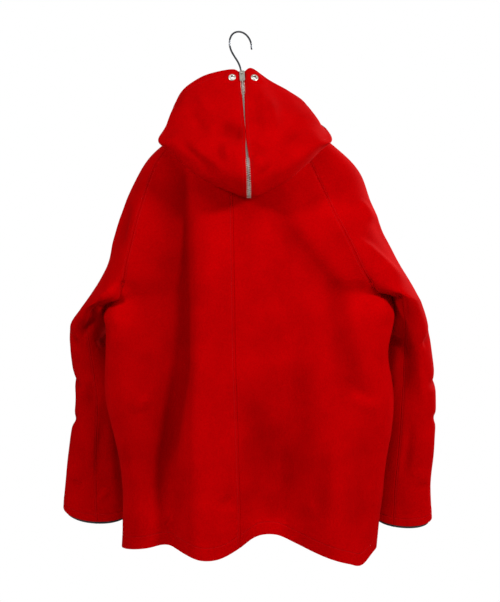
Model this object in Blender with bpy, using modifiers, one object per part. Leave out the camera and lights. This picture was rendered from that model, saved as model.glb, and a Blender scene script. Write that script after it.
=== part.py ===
"""Hooded wool coat with raglan sleeves, hanging by its shoulders on a hanger.

Every size is in millimetres in the coat's own frame and is scaled to metres when a mesh is made.
+X is the wearer's left, -Y the front and +Z up. The stem of the hook stands at x = 0, y = 0.
The finished model is shifted so that the inside of the hook's top lies on the world's origin.

Stations run down the cloth: 0 at the neck, 1 at the underarm, 2 at the hem or the cuff.
"""

import math

import bmesh
import bpy
import numpy as np
from mathutils import Matrix, Vector

MM = 0.001
OBJECT_NAME = "hooded_wool_coat"

# Cloth
WALL = 3.0  # melton wool, sewn and pressed
SEAM_GAP = 0.3
SIDE_GAP = 0.22  # how far the body keeps from its side and raglan seams
LINING = 1.2

# Sleeve seams
SEAM_TOP = 0.8  # station where the sleeve's two long seams leave the raglan seams
SEAM_SETTLED = 1.15
SEAM_PLACE = {"left": 0.24, "right": 0.20}  # share of the sleeve's round, from its inside

# The cross-section: how early each part closes into a round, and how full it is there
SLEEVE_CLOSES = (0.7, 0.3)  # station where it starts, and over how many stations
BODY_CLOSES = (0.85, 0.35)
ARCH_SLOPE = 0.2  # how straight the open sleeve leaves its seams
FULLNESS = {"back": 2.4, "front": 1.6}  # 2 is an ellipse
FRONT_DROP = -0.4  # share of the sleeve's drop that its front takes
FOLD_TOP = 0.6  # share of its width that a fold has at its top

# Front closing
CLOSING_LAP = 22.0  # how far each front passes the middle
LAP_LIFT = WALL + 1.8
LAP_FADES = (8.0, 45.0)  # where past the lap the upper front starts to come down, and over how far

# Hood zip
ZIP_SLOT = 4.3  # from the middle to each hood edge
TAPE_HALF = 11.0
TAPE_THICK = 0.8
TAPE_DEPTH = WALL + 1.2
CHAIN_HALF = 3.4
CHAIN_PROUD = 0.8
CHAIN_GAP = 0.3  # from the chain to its tape

# Eyelets
EYELET_HOLE = 4.6

# Hanger
HOOK_WIRE = 2.0
HANGER_DEPTH = 15.0
HANGER_HEIGHT = 11.0
HOOK_TOP = Vector((6.5, 0.0, 0.0))  # inside of the hook's top, which becomes the origin


def table(names, rows):
    """A table with named columns, one row for each section."""
    return dict(zip(names.split(), np.array(rows, float).T))


# The raglan seams and the outer line of each sleeve, from the neck to the underarm.
RAGLAN = {
    "left": table(
        "station back_x back_y back_z outer_x outer_y outer_z front_x front_y front_z",
        [
            (0.00, 91, 30, -181, 97, 4, -182, 84, -28, -194),
            (0.12, 127, 43, -214, 137, 5, -207, 115, -40, -224),
            (0.25, 157, 50, -250, 175, 5, -240, 142, -48, -256),
            (0.47, 187, 67, -336, 220, 0, -325, 174, -72, -338),
            (0.65, 203, 72, -406, 241, -5, -398, 194, -82, -407),
            (0.74, 212, 69, -443, 253, -6, -437, 204, -80, -442),
            (0.82, 219, 60, -476, 270, -6, -472, 215, -70, -474),
            (0.89, 231, 44, -497, 284, -7, -494, 230, -46, -497),
            (1.00, 255, 8, -518, 306, -8, -524, 255, 8, -518),
        ],
    ),
    "right": table(
        "station back_x back_y back_z outer_x outer_y outer_z front_x front_y front_z",
        [
            (0.00, -82, 30, -166, -90, 4, -164, -78, -28, -180),
            (0.12, -108, 43, -212, -150, 0, -196, -104, -42, -220),
            (0.25, -133, 50, -260, -212, -8, -246, -130, -50, -263),
            (0.47, -172, 69, -346, -249, -10, -325, -166, -74, -346),
            (0.65, -206, 76, -414, -272, -10, -391, -198, -84, -412),
            (0.74, -223, 74, -448, -293, -10, -426, -216, -82, -446),
            (0.82, -241, 64, -475, -312, -10, -457, -236, -72, -474),
            (0.89, -258, 44, -490, -327, -10, -482, -256, -46, -490),
            (1.00, -286, 10, -502, -342, -10, -510, -286, 10, -502),
        ],
    ),
}

# Rings of each sleeve below the underarm. back and front are half depths, drop lowers the back.
SLEEVE = {
    "left": table(
        "station inner_x inner_y inner_z outer_x outer_y outer_z back front drop",
        [
            (1.00, 255, 8, -518, 306, -8, -524, 58, 66, 0),
            (1.08, 256, -16, -548, 326, -20, -553, 52, 62, 0),
            (1.20, 246, -44, -600, 330, -42, -602, 46, 54, 2),
            (1.40, 232, -56, -690, 323, -54, -700, 40, 44, 6),
            (1.60, 228, -58, -770, 333, -56, -780, 37, 40, 10),
            (1.80, 222, -58, -846, 341, -56, -852, 34, 36, 16),
            (2.00, 214, -56, -916, 345, -54, -909, 31, 33, 22),
        ],
    ),
    "right": table(
        "station inner_x inner_y inner_z outer_x outer_y outer_z back front drop",
        [
            (1.00, -286, 10, -502, -342, -10, -510, 58, 66, 0),
            (1.08, -288, -14, -537, -355, -20, -545, 52, 62, 0),
            (1.20, -278, -42, -595, -367, -40, -601, 46, 54, 2),
            (1.40, -270, -54, -685, -378, -52, -694, 40, 44, 6),
            (1.60, -264, -56, -768, -375, -54, -785, 37, 40, 10),
            (1.80, -256, -56, -846, -368, -54, -864, 34, 36, 14),
            (2.00, -250, -54, -920, -370, -52, -929, 31, 33, 18),
        ],
    ),
}

# The side seams below the underarm.
SIDES = table(
    "station left_x left_y left_z right_x right_y right_z",
    [
        (1.00, 255, 8, -518, -286, 10, -502),
        (1.06, 249.5, 15, -541, -281, 17, -525),
        (1.12, 250, 22, -562, -282, 24, -548),
        (1.24, 255, 27, -612, -276, 28, -602),
        (1.42, 254, 30, -692, -285, 30, -680),
        (1.60, 237, 32, -762, -281, 32, -757),
        (1.72, 226, 31, -815, -273, 32, -807),
        (1.86, 221, 27, -890, -263, 28, -892),
        (2.00, 224, 22, -971, -254, 22, -973),
    ],
)

# The middle of the back and of the front.
MIDDLE = table(
    "station back_x back_y back_z front_x front_y front_z",
    [
        (0.00, 8, 50, -174, 2, -72, -240),
        (0.25, 12, 70, -246, 3, -84, -288),
        (0.47, 14, 86, -333, 4, -94, -352),
        (0.65, 13, 95, -405, 4, -100, -412),
        (0.82, 12, 100, -470, 4, -104, -472),
        (1.00, 11, 103, -514, 4, -106, -514),
        (1.24, 10, 104, -606, 3, -106, -604),
        (1.42, 7, 104, -688, 3, -106, -686),
        (1.60, 4, 104, -758, 2, -106, -760),
        (1.72, 2, 104, -808, 2, -106, -812),
        (1.86, 0, 105, -888, 1, -105, -890),
        (2.00, 1, 106, -958, 0, -104, -966),
    ],
)

# The hood round the neck, from the right front to the left front. The fold is its lowest line,
# the edge is the face opening, roll rounds the fold, belly swells the layer that shows and lift
# keeps the layer under it off the shoulders.
HOOD = table(
    "around fold_x fold_y fold_z edge_x edge_y edge_z roll belly lift",
    [
        (-1.00, -8, -84, -238, -10, -92, -202, 4, 2, 1),
        (-0.88, -62, -78, -230, -62, -86, -190, 6, 4, 4),
        (-0.76, -106, -44, -190, -108, -62, -166, 8, 6, 12),
        (-0.62, -143, 14, -183, -132, -26, -156, 8, 4, 21),
        (-0.50, -159, 54, -213, -122, 2, -134, 12, 12, 20),
        (-0.36, -134, 86, -246, -88, 8, -110, 16, 22, 12),
        (-0.24, -88, 114, -290, -54, 12, -92, 18, 32, 6),
        (-0.12, -46, 128, -314, -20, 15, -69, 19, 40, 5),
        (0.00, -15, 134, -325, -2, 20, -79, 20, 42, 5),
        (0.12, 16, 130, -315, 15, 15, -71, 19, 40, 5),
        (0.24, 54, 120, -298, 48, 12, -76, 18, 32, 6),
        (0.36, 98, 98, -266, 82, 8, -88, 16, 22, 12),
        (0.50, 140, 58, -223, 118, 2, -118, 12, 12, 20),
        (0.62, 135, 14, -203, 130, -26, -156, 9, 4, 23),
        (0.76, 108, -44, -205, 106, -62, -174, 8, 6, 14),
        (0.88, 64, -78, -230, 62, -86, -190, 6, 4, 4),
        (1.00, 8, -84, -238, 10, -92, -202, 4, 2, 1),
    ],
)

# Folds of the back. Each runs from its top to its foot and grows on the way;
# out is how far it stands out at the foot (inwards if negative), wide its half width there.
BACK_FOLDS = table(
    "top_x top_z foot_x foot_z out wide",
    [
        (110, -330, 138, -960, -26, 34),
        (90, -420, 82, -960, 20, 42),
        (-100, -380, -70, -960, -44, 58),
        (-120, -420, -188, -960, 16, 50),
        (-20, -560, 30, -960, 10, 40),
    ],
)
FRONT_FOLDS = table(
    "top_x top_z foot_x foot_z out wide",
    [
        (120, -380, 140, -960, 16, 44),
        (70, -420, 80, -960, -18, 40),
        (-110, -380, -128, -960, 16, 44),
        (-72, -430, -76, -960, -16, 38),
    ],
)

FINISHES = {
    "melton": ((0.47, 0.0, 0.002), 0.9, 0.0),
    "tape": ((0.25, 0.0, 0.002), 0.8, 0.0),
    "lining": ((0.03, 0.006, 0.004), 0.8, 0.0),
    "nickel": ((0.75, 0.74, 0.72), 0.3, 1.0),
    "steel": ((0.35, 0.35, 0.36), 0.35, 1.0),
    "hanger": ((0.05, 0.05, 0.05), 0.5, 0.0),
}

# How far the hem of the back rises above or hangs below an even curve.
BACK_HEM = table(
    "across rise",
    [
        (-256, -6),
        (-226, -34),
        (-198, -26),
        (-149, -13),
        (-102, 3),
        (-62, 16),
        (-26, 14),
        (2, -3),
        (44, -20),
        (70, -20),
        (104, -9),
        (134, 3),
        (172, 0),
        (220, -2),
    ],
)

SHARP_ANGLE = 40.0

OPEN_ROWS = [0.0, 0.1, 0.2, 0.32, 0.44, 0.56, 0.68, SEAM_TOP]
UNDER_STEPS = 3  # columns of the under sleeve on each side of its middle
SLEEVE_STEPS = 16
SLEEVE_COLUMNS = 10
PANEL_COLUMNS = 9
SKIRT_STEPS = 12
LINING_ROWS = 2
LINING_SHOWS = 5.0

HOOD_COLUMNS = (4, 4, 6)  # along the back neck, the sleeve top and the front neck
HOOD_LIFT = 0.8
FRONT_SLIT = 4.0
ROLL_RISES = (5.0, 8.0)  # the roll from which the fold stands up, and over how much more
MIDDLE_FACES_BACK = 0.3  # share of the way round over which the fold turns to the back
TURN_OUT = 0.6  # the first turn over the neck seam, in rolls, and how far up it goes
TURN_UP = 2.0
TURN_LIFTED = 0.3
UNDER_SHARE = 0.55  # the under layer's middle: its place from seam to fold, and in rolls inwards
UNDER_BACK = 0.4
NECK_CENTRE = np.array([4.0, -5.0, 0.0])
# Shares of the hood's height for: seam, first turn, under layer, three on the roll, belly, edge.
HOOD_CONTROLS = [0.0, 0.04, 0.20, 0.33, 0.39, 0.45, 0.70, 1.0]
HOOD_ROWS = np.array(
    [0, 0.02, 0.05, 0.12, 0.2, 0.27, 0.33, 0.36, 0.39, 0.42, 0.45, 0.5, 0.57, 0.64, 0.72, 0.8, 0.87, 0.925, 0.985, 1]
)
ZIP_ROWS = slice(2, len(HOOD_ROWS) - 1)
EYELET_SIDES = 20
EYELET_CELL = (17, 1)  # the row and column of the hood's facet that carries each eyelet
# Radius and height of an eyelet's section: a domed flange and a barrel through the cloth.
EYELET_PROFILE = [(3.1, 1.3), (3.9, 1.8), (6.6, 1.5), (7.2, 0.7), (3.9, 0.7), (3.9, -3.6), (3.1, -3.6)]

HANGER_HALF = 160.0
HANGER_NECK = -143.0
HANGER_SLOPE = 0.2275
HANGER_DROOP = 0.00169
HANGER_TILT = 4.0
HANGER_SIDES = 12
HOOK_DEPTH = 16.0
WIRE_POINTS = 48
# The hook's middle line from its stem to its free tip.
HOOK_LINE = [
    (0.0, 0.0, -120.0),
    (0.0, 0.0, -95.0),
    (0.6, 0.0, -69.4),
    (5.1, 0.0, -57.2),
    (13.0, 0.0, -44.5),
    (18.6, 0.0, -34.5),
    (21.8, 0.0, -22.0),
    (20.6, 0.0, -10.0),
    (14.8, 0.0, -1.2),
    (6.5, 0.0, 2.0),
    (-4.0, 0.0, 0.0),
    (-12.5, 0.0, -7.0),
    (-18.5, 0.0, -18.0),
    (-20.3, 0.0, -32.5),
]

# Clasps: centre and size of each plate, x to the wearer's left, y down, z out of the cloth.
CLASP_HEIGHTS = (-305.0, -450.0, -595.0, -740.0)
CLASP_LEFT = 13.0
CLASP_RIGHT = -56.0
PLATE_SAMPLES = 9
PLATE_REACH = (17.0, 12.0)
HOOK_PLATE = ((0.0, 0.0, 1.4), (32.0, 20.0, 1.8))
HOOK_WIDE = 9.0
HOOK_BAR = (-45.0, 3.4)
# The tongue seen from its side: x and z, round the outside and back along the inside.
HOOK_SIDE = [
    (-10.0, 1.2),
    (-10.0, 4.2),
    (-18.0, 7.6),
    (-44.0, 8.2),
    (-49.0, 6.4),
    (-50.6, 3.2),
    (-49.8, 0.2),
    (-48.2, 0.2),
    (-48.6, 3.2),
    (-47.4, 5.4),
    (-44.0, 6.4),
    (-18.0, 5.8),
    (-14.0, 4.0),
    (-13.0, 1.2),
]
RING_PLATE = ((-4.0, 0.0, 1.1), (24.0, 22.0, 1.8))
RING_LUG = ((0.0, 0.0, 3.4), (6.0, 20.0, 4.0))
RING_WIRE = 1.6
# Share of the way from the hook's bar to the lug, and place down, for each corner of the loop.
RING_LOOP = [
    (0.0, -8.0),
    (0.0, 8.0),
    (0.15, 10.0),
    (0.85, 8.0),
    (1.0, 5.0),
    (1.0, -5.0),
    (0.85, -8.0),
    (0.15, -10.0),
]

# Slider: centre and size of its plate and of what is joined on, x across, y down, z out.
SLIDER_PLATE = ((0.0, -3.5, 2.3), (10.0, 13.0, 1.6))
SLIDER_UNIONS = [
    ((0.0, -8.0, 4.4), (2.2, 1.6, 3.6)),
    ((0.0, 1.0, 4.4), (2.2, 1.6, 3.6)),
    ((0.0, -3.5, 6.3), (2.2, 10.6, 1.2)),
    ((0.0, -7.0, -0.3), (3.0, 4.0, 4.4)),
]
PULL_PIVOT = (0.0, -1.6, 4.3)
PULL_TILT = 6.0
PULL_PLATE = ((0.0, 9.85, 0.0), (9.5, 21.5, 1.2))
PULL_WINDOWS = [
    ((0.0, 3.2, 0.0), (4.6, 4.6, 6.0)),
    ((0.0, 16.5, 0.0), (2.4, 2.4, 6.0)),
]


def smooth_step(value):
    """0 below 0, 1 above 1, and smooth between."""
    t = np.clip(value, 0.0, 1.0)
    return t * t * (3.0 - 2.0 * t)


def through(stations, values, at):
    """A smooth curve through a column's values."""
    slopes = np.gradient(values, stations, axis=0)
    i = np.clip(np.searchsorted(stations, at, side="right") - 1, 0, len(stations) - 2)
    span = stations[i + 1] - stations[i]
    t = (at - stations[i]) / span
    if values.ndim > 1:
        span, t = span[..., None], t[..., None]
    return (
        (2 * t**3 - 3 * t**2 + 1) * values[i]
        + (t**3 - 2 * t**2 + t) * span * slopes[i]
        + (3 * t**2 - 2 * t**3) * values[i + 1]
        + (t**3 - t**2) * span * slopes[i + 1]
    )


def column(rows, name, at):
    """One column of a table, or the point whose columns end in _x, _y and _z."""
    stations = rows["station"] if "station" in rows else rows["around"]
    at = np.asarray(at, float)
    if name in rows:
        return through(stations, rows[name], at)
    return through(stations, np.stack([rows[f"{name}_{axis}"] for axis in "xyz"], -1), at)


def unit(vectors):
    return vectors / np.maximum(np.linalg.norm(vectors, axis=-1, keepdims=True), 1e-9)


def sleeve_surface(side, station, turn):
    """A sleeve's outer surface. turn goes from its inside or back seam, 0, round its outer line,
    0.5, to its inside or front seam, 1."""
    station, turn = np.broadcast_arrays(np.asarray(station, float), np.asarray(turn, float))
    seams, rings = RAGLAN[side], SLEEVE[side]
    above, below = np.minimum(station, 1.0), np.maximum(station, 1.0)
    is_ring = (station > 1.0)[..., None]
    at_back = turn <= 0.5
    seam = np.where(
        at_back[..., None], column(seams, "back", above), column(seams, "front", above)
    )
    start = np.where(is_ring, column(rings, "inner", below), seam)
    outer = np.where(is_ring, column(rings, "outer", below), column(seams, "outer", above))
    depth = np.where(at_back, column(rings, "back", below), -column(rings, "front", below))
    drop = np.where(at_back, column(rings, "drop", below), FRONT_DROP * column(rings, "drop", below))

    angle = math.pi * np.where(at_back, turn, 1.0 - turn)
    closing = smooth_step((station - SLEEVE_CLOSES[0]) / SLEEVE_CLOSES[1])
    ring_share = (1.0 - np.cos(2 * angle)) / 2
    lateral = (1 - closing) * np.sin(angle) + closing * ring_share
    arch = ARCH_SLOPE * np.sin(angle) + (1 - ARCH_SLOPE) * (1 - np.cos(angle))
    inward = (1 - closing) * arch + closing * ring_share
    swell = closing * np.sin(2 * angle)
    points = start + (outer - start) * np.stack([lateral, inward, lateral], -1)
    points[..., 1] += swell * depth
    points[..., 2] -= swell * drop
    return points


def fold_depth(folds, x, z):
    """The sum of a panel's folds at x, z."""
    total = np.zeros_like(x)
    for i in range(len(folds["out"])):
        share = (folds["top_z"][i] - z) / (folds["top_z"][i] - folds["foot_z"][i])
        middle = folds["top_x"][i] + (folds["foot_x"][i] - folds["top_x"][i]) * share
        wide = folds["wide"][i] * (FOLD_TOP + (1 - FOLD_TOP) * np.clip(share, 0.0, 1.0))
        total += folds["out"][i] * smooth_step(share) * np.exp(-(((x - middle) / wide) ** 2))
    return total


def body_closing(station):
    """0 where the body is open between the raglan seams, and 1 where it is a closed round."""
    return smooth_step((station - BODY_CLOSES[0]) / BODY_CLOSES[1])


def torso_surface(face, station, across):
    """The body's outer surface. across goes from the right seam, -1, to the left seam, 1."""
    station, across = np.broadcast_arrays(np.asarray(station, float), np.asarray(across, float))
    above, below = np.minimum(station, 1.0), np.maximum(station, 1.0)
    is_left = (across > 0)[..., None]
    is_ring = (station > 1.0)[..., None]
    side = np.where(is_left, column(SIDES, "left", below), column(SIDES, "right", below))
    seam = np.where(
        is_left,
        column(RAGLAN["left"], face, above),
        column(RAGLAN["right"], face, above),
    )
    edge = np.where(is_ring, side, seam)
    middle = column(MIDDLE, face, station)

    closing = body_closing(station)
    share = np.abs(across)
    lateral = (1 - closing) * share + closing * np.sin(share * math.pi / 2)
    full = FULLNESS[face]
    rim = 1 - (1 - np.clip(lateral, 0, 1) ** full) ** (1 / full)
    inward = (1 - closing) * lateral**2 + closing * rim
    near_neck = 1 - smooth_step(station / 0.3)
    level = (1 - near_neck) * lateral**2 + near_neck * lateral**3
    points = middle + (edge - middle) * np.stack([lateral, inward, level], -1)

    folds, sign = (BACK_FOLDS, 1.0) if face == "back" else (FRONT_FOLDS, -1.0)
    depth = fold_depth(folds, points[..., 0], points[..., 2])
    points[..., 1] += sign * depth * (1 - lateral**4)
    if face == "back":
        rise = np.interp(points[..., 0], BACK_HEM["across"], BACK_HEM["rise"])
        points[..., 2] += rise * smooth_step((station - 1.4) / 0.6) * (1 - lateral**12)
    return points


def lap_share(station):
    """The share of a front, past the middle, that gives the closing its lap."""
    wide = np.abs(torso_surface("front", station, 1.0) - torso_surface("front", station, 0.0))[..., 0]
    closing = body_closing(station)
    return CLOSING_LAP / wide / (1 - closing + closing * math.pi / 2)


def front_grid(side, stations, half):
    """A front panel from past the middle to its seams. The left one lies on the right one."""
    sign = 1.0 if side == "left" else -1.0
    lap = lap_share(stations)
    grid = torso_surface("front", stations, sign * (half * (1 + lap) - lap))
    if side == "left":
        over = 1 - smooth_step((grid[..., 0] - CLOSING_LAP - LAP_FADES[0]) / LAP_FADES[1])
        grid[..., 1] -= LAP_LIFT * over
    return grid


def sleeve_seam(side, station):
    """How far round the sleeve its back seam lies."""
    share = (np.asarray(station) - SEAM_TOP) / (SEAM_SETTLED - SEAM_TOP)
    return SEAM_PLACE[side] * smooth_step(share)


def sleeve_top_grid(side):
    stations = np.array(OPEN_ROWS[:-1] + list(np.linspace(SEAM_TOP, 2.0, SLEEVE_STEPS + 1)))[:, None]
    start = sleeve_seam(side, stations)
    turn = start + (1 - 2 * start) * np.linspace(0, 1, SLEEVE_COLUMNS + 1)[None, :]
    return sleeve_surface(side, stations, turn)


def sleeve_under_grid(side):
    """The under sleeve, whose first row runs down the back raglan seam and up the front one."""
    half = np.linspace(0, 1, UNDER_STEPS + 1)[None, :]
    top = SEAM_TOP + (1 - SEAM_TOP) * half
    stations = top + (2.0 - top) * np.linspace(0, 1, SLEEVE_STEPS + 1)[:, None]
    reach = np.clip((stations - SEAM_TOP) / (1 - SEAM_TOP), 1e-6, 1.0)
    turn = sleeve_seam(side, stations) * np.clip(1 - half / reach, 0.0, 1.0)
    back = sleeve_surface(side, stations, turn)
    front = sleeve_surface(side, stations, 1.0 - turn)
    return np.concatenate([back, front[:, -2::-1]], axis=1)


def garment_grids():
    """The outer points of the coat's eight panels, a row for each station."""
    shared = [SEAM_TOP + (1 - SEAM_TOP) * (i + 1) / UNDER_STEPS for i in range(UNDER_STEPS)]
    skirt = [1 + (i + 1) / SKIRT_STEPS for i in range(SKIRT_STEPS)]
    stations = np.array(OPEN_ROWS + shared + skirt)[:, None]
    half = np.linspace(0, 1, PANEL_COLUMNS + 1)[None, :]
    grids = {}
    for side, sign in (("left", 1.0), ("right", -1.0)):
        grids[f"back_{side}"] = torso_surface("back", stations, sign * half)
        grids[f"front_{side}"] = front_grid(side, stations, half)
        grids[f"sleeve_{side}_top"] = sleeve_top_grid(side)
        grids[f"sleeve_{side}_under"] = sleeve_under_grid(side)
    return grids


def outward_turn(name):
    """1 where rows crossed with columns point out of the cloth, and -1 where they point in."""
    turned = name.startswith(("back", "sleeve")) and not name.endswith("under")
    return (-1 if turned else 1) * (1 if "left" in name else -1)


def corner_normals(grid, turn):
    """Each point's normal, summed over the quads that meet there and weighted by their areas."""
    across = grid[1:, 1:] - grid[:-1, :-1]
    other = grid[1:, :-1] - grid[:-1, 1:]
    faces = turn * np.cross(across, other) * -1.0
    total = np.zeros_like(grid)
    for rows in (slice(None, -1), slice(1, None)):
        for columns in (slice(None, -1), slice(1, None)):
            total[rows, columns] += faces
    return total


def shared_normals(grids):
    """Normals that neighbours agree on along their seams, so that their walls meet edge to edge."""
    sums = {}
    parts = {name: corner_normals(grid, outward_turn(name)) for name, grid in grids.items()}
    keys = {
        name: [tuple(np.round(point, 2)) for point in grid.reshape(-1, 3)]
        for name, grid in grids.items()
    }
    for name, part in parts.items():
        for key, normal in zip(keys[name], part.reshape(-1, 3)):
            sums[key] = sums.get(key, 0.0) + normal
    return {
        name: unit(np.array([sums[key] for key in keys[name]]).reshape(grid.shape))
        for name, grid in grids.items()
    }


def drawn_in(grid, inner, edges):
    """Both faces of a panel with its edges drawn in, by edge, square to each edge."""
    ways = {
        "top": (slice(0, 1), slice(None), 0, 1, 0),
        "foot": (slice(-1, None), slice(None), -1, -2, 0),
        "first": (slice(None), slice(0, 1), 0, 1, 1),
        "last": (slice(None), slice(-1, None), -1, -2, 1),
    }
    moved, moved_inner = grid.copy(), inner.copy()
    for edge, distance in edges.items():
        rows, columns, at, beside, axis = ways[edge]
        line = np.take(grid, at, axis)
        along = unit(np.gradient(line, axis=0))
        inwards = np.take(grid, beside, axis) - line
        square = unit(inwards - np.sum(inwards * along, axis=-1, keepdims=True) * along)
        way = np.expand_dims(square * distance, axis)
        moved[rows, columns] += way
        moved_inner[rows, columns] += way
    return moved, moved_inner


def wall_mesh(name, outer, inner, turn):
    """A closed wall between two grids of points, given in millimetres."""
    rows, columns = outer.shape[:2]
    count = rows * columns
    points = (np.concatenate([outer.reshape(-1, 3), inner.reshape(-1, 3)]) - HOOK_TOP) * MM
    faces = []
    for i in range(rows - 1):
        for j in range(columns - 1):
            a = i * columns + j
            quad = (a, a + columns, a + columns + 1, a + 1)
            faces.append(quad)
            faces.append(tuple(count + v for v in reversed(quad)))
    rim = [j for j in range(columns)]
    rim += [i * columns + columns - 1 for i in range(1, rows)]
    rim += [(rows - 1) * columns + j for j in range(columns - 2, -1, -1)]
    rim += [i * columns for i in range(rows - 2, 0, -1)]
    for a, b in zip(rim, rim[1:] + rim[:1]):
        if points[a][2] >= points[b][2]:
            faces += [(a, b, count + b), (a, count + b, count + a)]
        else:
            faces += [(a, b, count + a), (b, count + b, count + a)]
    if turn < 0:
        faces = [tuple(reversed(face)) for face in faces]
    mesh = bpy.data.meshes.new(name)
    mesh.from_pydata(points.tolist(), [], faces)
    mesh.validate()
    return mesh


def build_panels():
    grids = garment_grids()
    normals = shared_normals(grids)
    half = SEAM_GAP / 2
    for name, grid in grids.items():
        edges = {"first": half, "last": half}
        if name.startswith("back"):
            edges["last"] = SIDE_GAP
        if name.startswith("front"):
            edges = {"last": SIDE_GAP}
        if name.endswith("under"):
            edges["top"] = half
        inner = grid - WALL * normals[name]
        outer, inner = drawn_in(grid, inner, edges)
        add_part(name, wall_mesh(name, outer, inner, outward_turn(name)), "melton")
    return grids, normals


def neck_points(grids, side):
    """The neck edge from the middle of the back to the middle of the front, by share of its length."""
    rows = [grids[f"back_{side}"], grids[f"sleeve_{side}_top"], grids[f"front_{side}"][:, ::-1]]
    line = np.concatenate([rows[0][0], rows[1][0][1:], rows[2][0][1:]])
    way = np.concatenate(
        [unit(rows[0][0] - rows[0][1]), unit(rows[1][0] - rows[1][1])[1:], unit(rows[2][0] - rows[2][1])[1:]]
    )
    sign = 1.0 if side == "left" else -1.0
    middle_front = MIDDLE["front_x"][0]
    keep = np.ones(len(line), bool)
    keep[-PANEL_COLUMNS:] = sign * (line[-PANEL_COLUMNS:, 0] - middle_front) > -1.0
    line, way = line[keep], way[keep]
    length = np.concatenate([[0.0], np.cumsum(np.linalg.norm(np.diff(line, axis=0), axis=1))])
    return length / length[-1], line, way


def hood_seam(grids, side, around):
    """Where the hood leaves the neck edge, a little outside it."""
    share, line, way = neck_points(grids, side)
    point = np.stack([np.interp(around, share, line[:, k]) for k in range(3)], -1)
    away = np.stack([np.interp(around, share, way[:, k]) for k in range(3)], -1)
    return point + HOOD_LIFT * unit(away)


def hood_surface(grids, side, around, up):
    """The hood's outer face. around goes from its middle seam, 0, to the front, 1, and up from
    the neck seam, 0, round the fold to the face opening, 1."""
    sign = 1.0 if side == "left" else -1.0
    around = np.asarray(around, float)
    seam = hood_seam(grids, side, around)
    fold = column(HOOD, "fold", sign * around)
    edge = column(HOOD, "edge", sign * around)
    roll = column(HOOD, "roll", sign * around)[:, None]
    belly = column(HOOD, "belly", sign * around)[:, None]
    lift = column(HOOD, "lift", sign * around)[:, None]
    rise = smooth_step((roll - ROLL_RISES[0]) / ROLL_RISES[1])
    out = fold - seam
    out[:, 2] = 0.0
    out[:, 0] *= smooth_step(around / MIDDLE_FACES_BACK)
    out = unit(out)
    away = seam - NECK_CENTRE
    away[:, 2] = 0.0
    away = unit(away)
    top = np.array([0.0, 0.0, 1.0])
    controls = np.stack(
        [
            seam,
            seam + TURN_OUT * roll * away + (TURN_UP + TURN_LIFTED * lift) * top,
            seam + UNDER_SHARE * (fold - seam) - UNDER_BACK * roll * rise * out + lift * top,
            fold - roll * out + roll * rise * top,
            fold,
            fold + roll * out + roll * top,
            0.5 * (fold + edge) + belly * out,
            edge,
        ],
        axis=0,
    )
    flat = controls.reshape(len(HOOD_CONTROLS), -1)
    rows = through(np.array(HOOD_CONTROLS), flat, np.asarray(up, float))
    return rows.reshape(len(up), len(around), 3)


def hood_grids(grids):
    hoods = {}
    for side in ("left", "right"):
        share, _, _ = neck_points(grids, side)
        stops = [0.0, share[PANEL_COLUMNS], share[PANEL_COLUMNS + SLEEVE_COLUMNS], 1.0]
        steps = [np.linspace(a, b, n, endpoint=False) for a, b, n in zip(stops, stops[1:], HOOD_COLUMNS)]
        hoods[side] = hood_surface(grids, side, np.append(np.concatenate(steps), 1.0), HOOD_ROWS)
    return hoods


def hood_normals(hoods):
    sums = {side: corner_normals(grid, 1 if side == "left" else -1) for side, grid in hoods.items()}
    middle = sums["left"][:, 0] + sums["right"][:, 0]
    for side in sums:
        sums[side][:, 0] = middle
        sums[side] = unit(sums[side])
    return sums


def on_facets(hoods, normals, distance, rows=slice(None)):
    """Points and normals along the hood's middle seam, moved sideways on its first facets.
    Positive distances lie on the left half."""
    side = "left" if distance >= 0 else "right"
    grid, normal = hoods[side][rows], normals[side][rows]
    step = grid[:, 1] - grid[:, 0]
    share = abs(distance) / np.linalg.norm(step, axis=-1, keepdims=True)
    return grid[:, 0] + share * step, unit(normal[:, 0] + share * (normal[:, 1] - normal[:, 0]))


def zip_strip(hoods, normals, half, top, foot):
    """A strip along the middle seam between two depths under the hood's outer face."""
    outer, inner = [], []
    for distance in (-half, 0.0, half):
        point, normal = on_facets(hoods, normals, distance, ZIP_ROWS)
        outer.append(point - top * normal)
        inner.append(point - foot * normal)
    return np.stack(outer, axis=1), np.stack(inner, axis=1)


def zip_frame(hoods, normals):
    """The place of the slider: its origin on the chain's end, and across, down and outward ways."""
    centre, normal = on_facets(hoods, normals, 0.0)
    left, _ = on_facets(hoods, normals, CHAIN_HALF)
    right, _ = on_facets(hoods, normals, -CHAIN_HALF)
    row = ZIP_ROWS.stop - 1
    origin = centre[row]
    outward = normal[row]
    across = unit(left[row] - right[row])
    down = unit(np.cross(outward, across))
    across = unit(np.cross(down, outward))
    if down[2] > 0:
        down, across = -down, -across
    basis = Matrix([[*across], [*down], [*outward]]).transposed().to_4x4()
    return Matrix.Translation(Vector((origin - HOOK_TOP) * MM)) @ basis


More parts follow.
